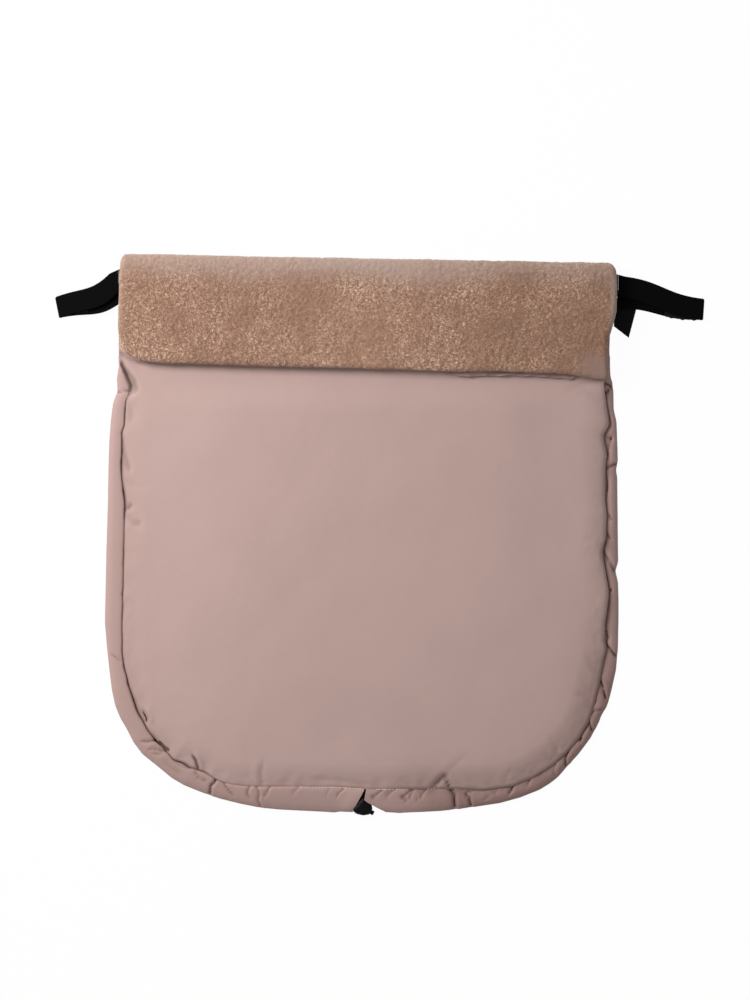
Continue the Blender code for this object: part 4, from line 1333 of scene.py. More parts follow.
        def rule(column: Array, row: Array) -> Spots:
            along = self.edge.length * row / rows
            angle = -2 * math.pi * self.side * column / self.around
            data = self.section(along, angle)
            spots, out = data[:, :3], data[:, 3:5]
            across, up, cover = data[:, 5:].T
            stand, fold = self.gather(along, across, up, spots)
            facing = unit(np.column_stack([out * across[:, None], up]))
            spots = spots + facing * (stand * cover)[:, None]
            spots[:, 2] = np.maximum(spots[:, 2], 0.2 * MM)
            rise = spots[:, 1] - FORM.lower_y
            end = self.mouth_x(rise)
            # The lower layer is drawn across under the mouth, and painted dark there as the shade inside the
            # casing.
            under = ease((rise - 7 * MM) / (5 * MM)) * (up < 0.02)
            end = end + (self.meeting - 2.6 * MM * self.side - end) * under
            near_end = self.edge.length - along < self.end_reach
            painted_shades.append(np.maximum(fold, under * near_end))
            stop = self.edge.points[-1][0]
            share = ease(1 - np.abs(spots[:, 0] - stop) / self.mouth_reach)
            spots[:, 0] += (end - stop) * share
            return tuple(spots.T)

        item = grid("rim_" + self.name, self.around, rows, rule)
        lay_uv(item, np.linspace(0.0, self.girth, self.around + 1),
               np.linspace(0.0, self.edge.length, rows + 1))
        note(item, "fold", painted_shades[0])
        weld(item)
        thicken(item, self.wall, -1.0)
        # Faces that lie on the floor take no painted shade.
        off_floor = mesh_points(item)[:, 2] > 0.6 * MM
        note(item, "fold", noted(item, "fold") * off_floor)
        smooth(item, 70)
        install(item, wardrobe.casing, "blanket", ("rim_casing_" + self.name,))
        self.sew(item, wardrobe)

    def sew(self, cloth: Item, wardrobe: Wardrobe) -> None:
        """Run the stitches that show along the lower seam through the casing's cloth."""
        below, step, stitch = 0.8 * MM, 0.8 * MM, 4.0 * MM
        x, y = self.seam.points.T
        spots = self.seam.points[(x > -0.075) & (x < 0.125) & (y < -0.2)]
        spots = Course.resample(spots - np.array((0.0, below)), step)[2:-6]
        tops = [cloth.ray_cast(Vector((x, y, 50 * MM)), Vector((0, 0, -1)))[1][2]
                for x, y in spots]
        turn = 2 * math.pi * np.arange(len(spots)) * step / stitch
        level = np.array(tops) + 0.1 * MM + 0.4 * MM * np.sin(turn)
        item = tube("stitches_" + self.name, np.column_stack([spots, level]), 0.42 * MM, 6)
        install(item, wardrobe.thread, "blanket")


# The cut mouths at the slit: millimetres across, and above the lower edge.
LEFT_MOUTH = ((-9.3, 1.8), (4.1, 25.7))
RIGHT_MOUTH = ((30.4, -0.6), (17.5, 5.8), (11.1, 9.3), (3.0, 14.0), (4.5, 25.7))
LEFT_CREASES = crease_table(
    ((139, 741, 147, 741, 156, 740), 1.1, 1.4, 0.8, "b", 0.45),
    ((146, 752, 152, 748, 160, 749, 171, 753), 1.1, 1.5, 0.8, "", 0.35),
    ((150, 752, 158, 754, 166, 752), 0.8, 1.2, 0.5, "", 0.30),
    ((109, 653, 117, 658, 124, 663), 0.7, 1.5, 0.5, "", 0.25),
    ((160, 757, 172, 768, 188, 778), 0.9, 4.0, 0.0, "", 0.12),
    ((217, 777, 215, 782, 211, 785, 210, 794), 1.7, 1.6, 0.7, "ab", 0.8),
    ((117, 392.5, 124, 391.5, 131, 391), 0.9, 1.1, 0.3, "ab", 0.5),
    ((196, 771, 199, 778, 209, 781), 0.9, 1.4, 0.7, "a"),
    ((225, 783, 230, 792, 236, 797), 1.0, 1.5, 0.7, "a"),
    ((250, 786, 247, 792, 251, 801), 0.9, 1.5, 0.7, "a"),
    ((257, 786, 260, 793, 258, 800, 261, 807), 1.1, 1.5, 0.8, "ab", 0.35),
    ((270, 786, 266, 793, 262, 798), 1.0, 1.5, 0.7, "a"),
    ((299, 787, 294, 791, 289, 796), 0.7, 1.6, 0.7, "a"),
    ((348, 788, 342, 793, 337, 797), 0.9, 1.5, 0.8, "a"),
    ((331, 788, 328, 792, 325, 795), 0.5, 1.5, 0.8, "a"),
    ((170, 757, 180, 764, 196, 770), 0.7, 1.7, 0.3),
)
RIGHT_CREASES = crease_table(
    ((388, 789, 383, 794, 376, 798), 1.0, 1.4, 0.8, "a"),
    ((398, 789, 394, 793, 390, 797), 0.8, 1.4, 0.8, "a"),
    ((412, 789, 406, 795, 398, 799), 1.2, 1.4, 0.8, "a"),
    ((414, 789, 410, 797, 404, 804), 1.1, 1.4, 0.8, "a"),
    ((426, 789, 420, 796, 414, 803), 1.1, 1.4, 0.8, "a"),
    ((449, 786, 454, 793, 455, 809), 2.3, 2.1, 0.8, "ab", 1.0),
    ((466, 793, 469, 798, 471, 807), 1.7, 2.0, 0.8, "ab", 1.0),
    ((464, 793, 468, 791, 474, 792), 1.1, 1.3, 0.5),
    ((497, 791, 489, 796, 482, 801), 0.9, 1.4, 0.8, "a"),
    ((513, 783, 511, 790, 507, 796), 1.9, 1.8, 0.8, "a", 1.0),
    ((530, 777, 528, 783, 524, 789), 1.2, 1.5, 0.7, "a"),
    ((555, 764, 554, 771, 557, 778), 0.9, 1.6, 0.7, "a"),
    ((568, 748, 565, 756, 566, 766), 1.8, 2.0, 0.7, "ab", 0.9),
    ((586, 725, 579, 735, 581, 745), 2.1, 2.5, 0.6, "a", 1.0),
    ((587, 718, 589, 724, 592, 730), 1.6, 2.0, 0.6, "ab", 1.0),
    ((589, 713, 594, 711, 602, 710), 1.1, 1.6, 0.6, "ab"),
    ((595, 693, 594, 700, 594, 705), 1.3, 1.7, 0.5, "a", 0.9),
    ((599, 680, 602, 686, 606, 698), 1.8, 1.9, 0.7, "ab", 1.0),
    ((604, 644, 609, 648, 616, 656), 1.3, 1.9, 0.6, "ab", 0.9),
    ((606, 588, 609, 591, 613, 588), 1.4, 1.7, 0.6, "a", 0.9),
    ((604, 630, 607, 637, 605, 644), 1.4, 2.2, 0.4, "ab", 0.7),
    ((601, 551, 608, 560, 615, 571), 1.5, 2.4, 0.6, "ab", 0.5),
    ((606, 533, 609, 538, 612, 541), 1.2, 1.8, 0.6, "a", 0.8),
    ((605, 472, 606, 485, 605, 498), 1.4, 2.4, 0.3, "", 0.55),
    ((607, 512, 610, 518, 614, 521), 0.8, 1.8, 0.5, "", 0.45),
    ((605, 468, 609, 467, 617, 464), 1.3, 1.9, 0.6, "ab", 0.7),
    ((602, 384, 606, 384, 611, 386, 612, 391), 2.0, 1.7, 0.9, "a", 0.9),
    ((603, 393, 607, 392, 610, 388), 1.6, 1.6, 0.7, "a", 0.9),
    ((604, 394, 607, 410, 610, 426), 1.2, 2.8, 0.0, "ab", 0.3),
    ((603, 436, 608, 438, 611, 439), 1.0, 3.0, 0.0, "ab", 0.25),
    ((611, 438, 608, 446, 606, 454), 1.3, 3.0, 0.0, "ab", 0.4),
)


@dataclass
class TurnedCuff:
    """The plush cuff: its lap over the panel, its turn round the fold, and its facing."""

    noise: ClothNoise = field(default_factory=lambda: ClothNoise(37))
    radius: float = 6.0 * MM
    cell: float = 1.35 * MM
    steps: int = 6
    lower: Line = (
        (118, 350.5), (124, 354), (132, 358), (141, 361.5), (160, 363.5), (200, 365),
        (260, 366.5), (315, 368), (360, 369), (420, 371), (457, 372.5), (500, 372),
        (530, 373), (560, 374.5), (575, 376), (590, 378), (598, 379.8), (602, 381.3),
        (605.5, 383.5), (608, 388), (610, 392))
    right_drift: Line = (
        (380, -2.5), (366, -4.0), (356, -5.4), (343, -6.9), (336, -7.6), (328, -7.2),
        (318, -4.2), (308, -0.7), (300, 1.5), (280, 1.2), (262, -1.0))
    left_drift: Line = (
        (356, 1.5), (340, -0.5), (318, -1.0), (300, -1.0), (280, -2.0), (262, -1.0))

    def gaps(self, length: float, both: bool) -> Array:
        """Distances from an edge, close together where the cuff is rounded."""
        turn = np.linspace(0.0, math.pi / 2, self.steps + 1)
        start = self.radius * (1 - np.cos(turn))
        last = length - self.radius if both else length
        count = int((last - self.radius) / self.cell)
        run = np.linspace(self.radius, last, count + 1)[1:]
        end = length - start[::-1][1:] if both else []
        return np.concatenate([start, run, end])

    def edge(self, y: Array, side: int) -> Array:
        """Where the cuff's side lies: the body's outline and the drift at the photo's rows."""
        rows, shifts = np.array(self.right_drift if side > 0 else self.left_drift).T
        drift = np.interp(y, (VIEW.zero_row - rows) * VIEW.pixel, shifts)
        return FORM.side(y, side) + drift * MM

    def plan(self, across: Array, up: Array, inset: float = 0.0) -> tuple[Array, ...]:
        """Place on the page.

        Args:
            across: Share of the width, from 0 at the left to 1.
            up: Distance above the lower edge of a cuff with no skew.
            inset: How far the outline is drawn in.

        Returns:
            x, y, and the distances from the nearer side and from the lower edge.
        """
        low = FORM.cuff_edge_y + inset
        y = np.maximum(FORM.cuff_edge_y + up, low)
        y = np.where(up <= 0, low, y)
        left, right = self.edge(y, -1) + inset, self.edge(y, 1) - inset
        x = left + (right - left) * across
        side_gap = np.minimum(x - left, right - x)
        edge_gap = y - low
        corner = FORM.cuff_corner
        p = 1 - np.minimum(side_gap / corner, 1.0)
        q = 1 - np.minimum(edge_gap / corner, 1.0)
        bent = (p > 0) & (q > 0)
        wall = np.where(x - left < right - x, left, right)
        sign = np.where(x - left < right - x, 1.0, -1.0)
        x = np.where(bent, wall + sign * corner * (1 - p * np.sqrt(1 - q * q / 2)), x)
        y = np.where(bent, low + corner * (1 - q * np.sqrt(1 - p * p / 2)), y)
        return x, y, side_gap, edge_gap

    def settle(self, x: Array, y: Array) -> Array:
        """Turn the plain cuff's height on the page into the one that the photograph shows."""
        edge = VIEW.line(self.lower)
        shift = np.interp(x, edge[:, 0], edge[:, 1]) - FORM.cuff_edge_y
        shift = shift + 0.45 * MM * self.noise.at(x, 0 * x, 9 * MM)
        reach = FORM.hinge_y - FORM.cuff_edge_y
        share = np.clip((y - FORM.cuff_edge_y) / reach, 0.0, 1.0)
        return y + shift * (1 - share) + FORM.skew(x, 0 * x + FORM.hinge_y) * share

    def nap(self, x: Array, run: Array) -> Array:
        """Height of the curly pile above its root, from about -1 to 1."""
        bent_x = x + 2.5 * MM * self.noise.at(x, run, 11 * MM)
        bent_y = run + 2.5 * MM * self.noise.at(run, x, 9 * MM)
        curl = 1 - 2 * np.abs(self.noise.at(bent_x, bent_y, 4.4 * MM))
        fine = self.noise.at(bent_y, bent_x, 2.3 * MM)
        broad = self.noise.at(x, run, 26 * MM)
        return 0.45 * curl + 0.35 * fine + 0.35 * broad

    @staticmethod
    def pale_strip_share(x: Array) -> Array:
        """How pale the strip along the fold is, from left to right."""
        return np.interp(x, (-0.28, -0.12, 0.03, 0.15, 0.30), (0.62, 0.8, 1.0, 0.6, 0.45))

    def brushed_pile_and_sheen(self, x: Array, y: Array) -> Array:
        """Where the pile of the cuff is brushed flat and looks paler, with painted sheen along the fold and
        at the sides.
        """
        line = FORM.hinge_y - 29 * MM + FORM.skew(x, 0 * x + FORM.hinge_y)
        line = line + 7 * MM * self.noise.at(x, 0 * x, 45 * MM)
        strip = np.clip((y - line) / (29 * MM), 0.0, 1.0) ** 1.9
        strip = strip * self.pale_strip_share(x)
        sides = ease((np.abs(x - FORM.lean(y)) - FORM.half_width(y) + 10 * MM) / (9 * MM))
        return np.clip(strip + 0.7 * sides * (x > 0) + 0.2 * sides, 0.0, 1.0)

    @staticmethod
    def flat_corner_and_shade(x: Array, y: Array) -> Array:
        """Where the pile lies flat at the lower right corner, which also takes painted shade."""
        (corner_x, corner_y), = VIEW.line(((606, 371),))
        return np.exp(-(((corner_x - x) / (34 * MM)) ** 4 + ((y - corner_y) / (20 * MM)) ** 4))

    def build_lap(self, wardrobe: Wardrobe) -> None:
        """Model the plush that lies over the panel."""
        width = 2 * float(FORM.half_width(FORM.cuff_edge_y))
        across = self.gaps(width, True) / width
        up = self.gaps(FORM.hinge_y - FORM.cuff_edge_y, False)
        columns, rows = len(across) - 1, len(up) - 1
        middle = 2 * FORM.hinge_z - self.radius

        def round_off(gap: Array) -> Array:
            return np.sqrt(np.clip(1 - (1 - np.minimum(gap / self.radius, 1.0)) ** 2, 0, 1))

        def top(column: Array, row: Array) -> Spots:
            x, y, side_gap, edge_gap = self.plan(across[column], up[row])
            lift = round_off(side_gap) * round_off(edge_gap)
            sag = 0.9 * MM * self.noise.at(x, y, 60 * MM) * lift
            settled = self.settle(x, y)
            pile = self.nap(x, y) * (1 - 0.8 * self.flat_corner_and_shade(x, settled))
            z = middle + self.radius * lift - 1.1 * MM * lift + 1.0 * MM * pile * lift
            blend = 1 - ease((y - FORM.hinge_y + 25 * MM) / (25 * MM))
            return x, settled, z + sag * blend

        def ring(step: int) -> Rule:
            turn = math.pi / 2 * step / self.steps
            inset = self.radius * (1 - math.cos(turn))

            def rule(column: Array, row: Array) -> Spots:
                x, y, side_gap, edge_gap = self.plan(across[column], up[row], inset)
                hinge = row == rows
                high = middle + self.radius * round_off(side_gap) * round_off(edge_gap)
                low = middle - self.radius
                z = np.where(hinge, high + (low - high) * step / self.steps,
                             middle - self.radius * math.sin(turn))
                return x, self.settle(x, y), z
            return rule

        item = grid("cuff_pile", columns, rows, top)
        skirt(item, [ring(step) for step in range(1, self.steps + 1)])
        smooth(item, 70)
        x, y, _ = mesh_points(item).T
        # Paleness: brushed pile with painted sheen; the flat corner also takes painted shade.
        note(item, "paleness", self.brushed_pile_and_sheen(x, y))
        note(item, "pressed", self.flat_corner_and_shade(x, y))
        install(item, wardrobe.pile, "cuff", ("cuff_fleece", "cuff_wadding"))

    def ring_grid(self, name: str, outer: float, inner: float, cell: float,
                  rows: int, plush: bool) -> Item:
        """A layer that turns round the fold, closed at its ends.

        Args:
            name: Name of the piece.
            outer: Radius of its outside.
            inner: Radius of its inside.
            cell: Size of its cells along the fold.
            rows: Cells round the turn.
            plush: Whether its outside has a pile.

        Returns:
            The layer.
        """
        half = (outer - inner) / 2
        mid = (outer + inner) / 2
        left, right = (float(self.edge(FORM.hinge_y, side)) for side in (-1, 1))
        turn = np.linspace(0.0, math.pi, 9 if plush else 3)[1:-1]
        count = int((right - left - 2 * half) / cell)
        run = np.linspace(left + half, right - half, count + 1)
        back = run[::8][::-1] if plush else run[::2][::-1]
        loop_x = np.concatenate([run, right - half + half * np.sin(turn), back,
                                 left + half - half * np.sin(turn), run[:1]])
        loop_r = np.concatenate([0 * run + half, half * np.cos(turn), 0 * back - half,
                                 -half * np.cos(turn), [half]])
        outside = np.clip(loop_r / half, 0.0, 1.0) if plush else 0 * loop_r

        def rule(column: Array, row: Array) -> Spots:
            angle = math.pi * row / rows
            x = loop_x[column]
            arc = FORM.hinge_y + outer * angle
            floor = 1 - ease((angle - 2.4) / 0.74)
            pile = (1.0 * MM * self.nap(x, arc) - 1.1 * MM) * floor - 0.3 * MM * (1 - floor)
            reach = mid + loop_r[column] + pile * outside[column]
            corner = np.where(x < 0, 7 * MM, 12 * MM)
            gap = np.minimum(x - left, right - x)
            dent = 1 - np.sqrt(1 - (1 - np.clip(gap / corner, 0, 1)) ** 2)
            y = FORM.hinge_y + reach * np.sin(angle) * (1 - 0.62 * dent)
            z = FORM.hinge_z + reach * np.cos(angle)
            return x, y + FORM.skew(x, 0 * x + FORM.hinge_y), z

        item = grid(name, len(loop_x) - 1, rows, rule)
        weld(item, fill=True)
        smooth(item, 70)
        return item

    def build_turn(self, wardrobe: Wardrobe) -> None:
        """Model the plush and wadding that turn round the fold."""
        item = self.ring_grid("fold_pile", FORM.hinge_z, 2.7 * MM, 1.35 * MM, 36, True)
        x, _, z = mesh_points(item).T
        # Paler on the top of the roll: the pile parted there, with painted sheen.
        note(item, "paleness", ease(z / (20 * MM)) * self.pale_strip_share(x))
        install(item, wardrobe.pile, nodes=("fold_fleece", "fold_wadding"))
        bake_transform(item, "cuff", "blanket", start=(0, FORM.hinge_y, 2 * FORM.hinge_z),
                 end=(0, FORM.hinge_y, 0))

    def build_turn_cloth(self, wardrobe: Wardrobe) -> None:
        """Model the shell cloth that turns inside the fold."""
        item = self.ring_grid("fold_cloth", 2.4 * MM, 1.2 * MM, 4 * MM, 8, False)
        install(item, wardrobe.shell, nodes=("fold_shell",))
        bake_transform(item, "cuff", "blanket", start=(0, FORM.hinge_y, FORM.hinge_z + 2.4 * MM),
                 end=(0, FORM.hinge_y, FORM.hinge_z - 2.4 * MM))

    def build_facing(self, wardrobe: Wardrobe) -> None:
        """Model the shell cloth under the cuff, whose hem shows at the right."""
        columns, rows = 240, 40
        inset = 5 * MM
        shade = []

        def rule(column: Array, row: Array) -> Spots:
            share = column / columns
            up = (row / rows) ** 2 * (FORM.hinge_y - FORM.cuff_edge_y - inset) + inset
            left = FORM.side(FORM.cuff_edge_y + up, -1) + inset
            right = FORM.side(FORM.cuff_edge_y + up, 1) - inset
            x = left + (right - left) * share
            shown = ease((x - 0.085) / 0.03) * ease((0.262 - x) / 0.02)
            drop = shown * (9.4 * MM + 1.4 * MM * self.noise.at(x, 0 * x, 9 * MM))
            near = ease(1 - (up - inset) / (14 * MM))
            y = self.settle(x, FORM.cuff_edge_y + up) - drop * near
            ripple = (self.noise.at(x, y, 5 * MM) + 0.4) * 1.7 * MM * shown * near
            # Painted shade on the hem where it shows under the cuff.
            shade.append(0.3 * near * shown)
            return x, y, 16.0 * MM + np.maximum(ripple, 0.0) + 0.3 * MM * near * shown

        item = grid("cuff_facing", columns, rows, rule)
        note(item, "fold", shade[0])
        thicken(item, 0.5 * MM, 1.0)
        smooth(item, 60)
        install(item, wardrobe.shell, "cuff", ("cuff_shell",))


@dataclass
class WebStrap:
    """One webbing strap: sewn end, base, turn at the tip, tail, and its grip patches."""

    name: str
    side: int
    below_fold: float
    length: float
    tail_gap: float
    angle: float
    fan: float
    bow: float
    sway: float
    width: float = 25 * MM
    thick: float = 1.5 * MM
    patch_thick: float = 1.2 * MM
    patch_width: float = 20 * MM
    offset: float = 2.2 * MM
    anchor: float = 30 * MM
    floor_gap: float = 0.4 * MM
    tip_slant: float = 2.6 * MM
    hook_shift: float = 0.0
    loop_shares: tuple[float, float] = (0.28, 0.92)
    hook_shares: tuple[float, float] = (0.04, 0.42)

    def __post_init__(self) -> None:
        """Work out the strap's own frame at its seam."""
        self.drop = self.thick + 2 * self.patch_thick + 3 * FORM.gap
        reach = (self.length + self.drop / 2) * math.cos(self.angle)
        reach += self.width / 2 * math.sin(self.angle)
        fall = FORM.body_top + FORM.gap - self.drop - self.floor_gap
        slope = self.side * math.asin(fall / reach)
        y = FORM.fold_y - self.below_fold
        x = self.side * (float(FORM.half_width(y)) + self.offset) + float(FORM.lean(y))
        z = FORM.body_top + FORM.gap + self.thick / 2
        self.frame = Matrix.Translation((x, y, z)) @ Matrix.Rotation(slope, 4, "Y")
        self.start = self.thick / 2 + FORM.gap

    def heading(self, angle: float) -> tuple[Vector, Vector]:
        """Unit vectors along and across a run of the strap."""
        along = Vector((self.side * math.cos(angle), -math.sin(angle), 0.0))
        across = Vector((self.side * math.sin(angle), math.cos(angle), 0.0))
        return along, across

    @staticmethod
    def placed(spots: Array, frame: Matrix) -> Spots:
        """World places of spots given in a frame."""
        return tuple((spots @ np.array(frame.to_3x3()).T + np.array(frame.translation)).T)

    def aside(self, distance: Array) -> Array:
        """How far the strap lies beside a straight line at a distance from its seam."""
        first = self.width / 2 * math.tan(self.angle) + self.thick
        share = np.clip((distance - first) / (self.length - first), 0.0, 1.0)
        return self.bow * np.sin(math.pi * share) + self.sway * np.sin(2 * math.pi * share)

    def ribbon(self, label: str, frame: Matrix, run: tuple[Vector, Vector, Vector],
               ends: Line, size: tuple[float, float], level: float, back: bool = False,
               straight: bool = False) -> Item:
        """Weave one flat run of tape.

        Args:
            label: Name of the piece.
            frame: The frame that it lies in.
            run: Where it starts there, its direction and the direction across it.
            ends: First and last distance of the lower edge, then of the upper edge.
            size: Width and thickness of the tape.
            level: Height of its middle in the frame.
            back: Whether the run comes back from the tip.
            straight: Whether it keeps to a straight line.

        Returns:
            The tape.
        """
        origin, along, across = run
        width, thick = size
        half = thick / 2
        flat = np.linspace(-1.0, 1.0, 15)
        turn = np.linspace(0.0, math.pi, 5)[1:-1]
        side_a = np.concatenate([flat, 1 + 0 * turn, flat[::-1], -1 + 0 * turn, flat[:1]])
        bulge = np.concatenate([0 * flat, np.sin(turn), 0 * flat, -np.sin(turn), [0.0]])
        rise = np.concatenate([0 * flat + 1, np.cos(turn), 0 * flat - 1, -np.cos(turn), [1.0]])
        a = side_a * (width / 2 - half) + bulge * half
        h = rise * half
        rows = max(6, int(abs(ends[0][1] - ends[0][0]) / (1.8 * MM)))
        lumpy = 0.09 if width < self.width else 0.0

        def rule(column: Array, row: Array) -> Spots:
            lumps = 1 + lumpy * np.sin(row * 1.3) * np.sin(row * 0.47 + 1)
            place = a[column] * lumps
            mix = (place / width) + 0.5
            first = ends[0][0] + (ends[1][0] - ends[0][0]) * mix
            last = ends[0][1] + (ends[1][1] - ends[0][1]) * mix
            distance = first + (last - first) * row / rows
            seam_run = self.length - distance if back else distance
            shift = 0.0 if straight else self.aside(seam_run)
            spot = (np.outer(distance, along) + np.outer(place + shift, across)
                    + np.array(origin))
            spot[:, 2] = level + h[column]
            return self.placed(spot, frame)

        item = grid(label, len(a) - 1, rows, rule)
        span = abs(ends[0][1] - ends[0][0])
        lay_uv(item, np.abs(a), np.linspace(0.0, span, rows + 1))
        weld(item, fill=True)
        smooth(item, 50)
        return item

    def turn_piece(self, label: str, tip: Vector, along: Vector) -> Item:
        """The strap's half turn at its tip."""
        middle = self.drop / 2
        columns, rows = 14, 12
        up = Vector((0.0, 0.0, 1.0))
        cross = along.cross(up)
        pivot = tip + Vector((0.0, 0.0, -middle)) + along * FORM.gap

        def rule(column: Array, row: Array) -> Spots:
            angle = math.pi / 2 - math.pi * row / rows
            narrow = 1 - 0.10 * np.cos(angle) ** 2
            a = (column / columns - 0.5) * (self.width - 0.2 * MM) * narrow
            ahead = self.side * self.tip_slant * 2 * a / self.width
            spot = (np.array(pivot) + np.outer(middle * np.cos(angle) + ahead, along)
                    + np.outer(middle * np.sin(angle), up) + np.outer(a, cross))
            return self.placed(spot, self.frame)

        item = grid(label, columns, rows, rule)
        lay_uv(item, np.linspace(0, self.width, columns + 1),
               np.linspace(0, math.pi * middle, rows + 1))
        thicken(item, self.thick, 0.0)
        smooth(item, 50)
        return item

    def build(self, wardrobe: Wardrobe) -> None:
        """Model and dress the strap's pieces."""
        along, across = self.heading(self.angle)
        back, back_across = self.heading(self.angle - self.fan)
        zero = Vector((0.0, 0.0, 0.0))
        tip = along * self.length
        tail = self.length - self.tail_gap
        slant = [(self.side * self.start - across.x * sign * self.width / 2) / along.x
                 for sign in (-1, 1)]
        cut = self.tip_slant
        whole = ((slant[0], self.length + cut), (slant[1], self.length - cut))
        swing = self.width / 2 * math.tan(self.fan)
        tail_ends = ((FORM.gap + swing - cut, tail), (FORM.gap - swing + cut, tail))
        loop_drop = self.thick / 2 + FORM.gap + self.patch_thick / 2
        hook_drop = loop_drop + self.patch_thick + FORM.gap
        loop = tuple(self.length * share for share in self.loop_shares)
        hook = tuple(tail * share for share in self.hook_shares)
        body, far = "strap_" + self.name, "strap_" + self.name + "_tail"
        flat = Matrix.Translation(self.frame.translation)
        half = self.width / 2 / math.cos(self.angle)
        root = Vector((self.side * (self.start - FORM.gap), 0.0, 0.0))
        inward, upward = Vector((-self.side, 0.0, 0.0)), Vector((0.0, 1.0, 0.0))
        frame, name, web = self.frame, self.name, wardrobe.web
        tape, patch = (self.width, self.thick), (self.patch_width, self.patch_thick)
        out, home = (zero, along, across), (tip, -back, back_across)
        aside = (tip - back_across * self.hook_shift, -back, back_across)
        base = self.ribbon("web_base_" + name, frame, out, whole, tape, 0.0)
        rest = self.ribbon("web_tail_" + name, frame, home, tail_ends, tape, -self.drop, True)
        soft = self.ribbon("loop_tape_" + name, frame, out, (loop, loop), patch, -loop_drop)
        hard = self.ribbon("hook_tape_" + name, frame, aside, (hook, hook), patch, -hook_drop,
                           True)
        sewn = self.ribbon("web_end_" + name, flat, (root, inward, upward),
                           ((0.0, self.anchor + self.offset),) * 2, (2 * half, self.thick), 0.0,
                           straight=True)
        bend = self.turn_piece("web_turn_" + name, tip, along)
        for item, node, carrier in ((base, "strap_base_", body), (rest, "strap_tail_", far),
                                    (sewn, "strap_anchor_", "blanket")):
            install(item, web, carrier, (node + name,))
        install(soft, wardrobe.grip, body, ("loop_patch_" + name,))
        install(hard, wardrobe.grip, far, ("hook_patch_" + name,))
        install(bend, web, nodes=("strap_turn_" + name,))
        high = frame @ (tip + Vector((0.0, 0.0, -0.6 * MM)))
        low = frame @ (tip + Vector((0.0, 0.0, -self.drop + 0.6 * MM)))
        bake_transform(bend, body, far, start=tuple(high), end=tuple(low))


@dataclass
class SideLabel:
    """The bare folded tape sewn into the right side."""

    below_fold: float = 65.7 * MM
    width: float = 33 * MM
    length: float = 25 * MM
    taper: float = 7.4 * MM
    skew: float = 13.5 * MM
    low: float = 4.0 * MM
    thick: float = 1.2 * MM
    ply: float = 0.5 * MM

    def build(self, wardrobe: Wardrobe) -> None:
        """Model and dress the label."""
        columns, rows = 30, 26
        middle = self.low + self.thick / 2
        bend = (self.thick - self.ply) / 2
        centre = FORM.fold_y - self.below_fold

        def rule(column: Array, row: Array) -> Spots:
            out = 1 - np.abs(2 * column / columns - 1)
            y0 = centre + self.width * (row / rows - 0.5)
            root = FORM.side(y0, 1) + FORM.gap
            length = self.length - self.taper * (1 - row / rows)
            reach = length - self.ply / 2
            distance = np.sin(np.minimum(out / 0.97, 1.0) * math.pi / 2) ** 0.92 * reach
            closing = np.sqrt(np.clip(1 - (np.clip((distance - reach + bend) / bend, 0, 1)) ** 2,
                                      0, 1))
            x = root + distance
            y = y0 - self.skew * distance / length
            return x, y, middle + np.where(column * 2 < columns, bend, -bend) * closing

        item = grid("label_tape", columns, rows, rule)
        lay_uv(item, np.linspace(0, 2 * self.length, columns + 1),
               np.linspace(0, self.width, rows + 1))
        thicken(item, self.ply * 0.9, 0.0)
        smooth(item, 50)
        install(item, wardrobe.tape, "blanket", ("side_label",))


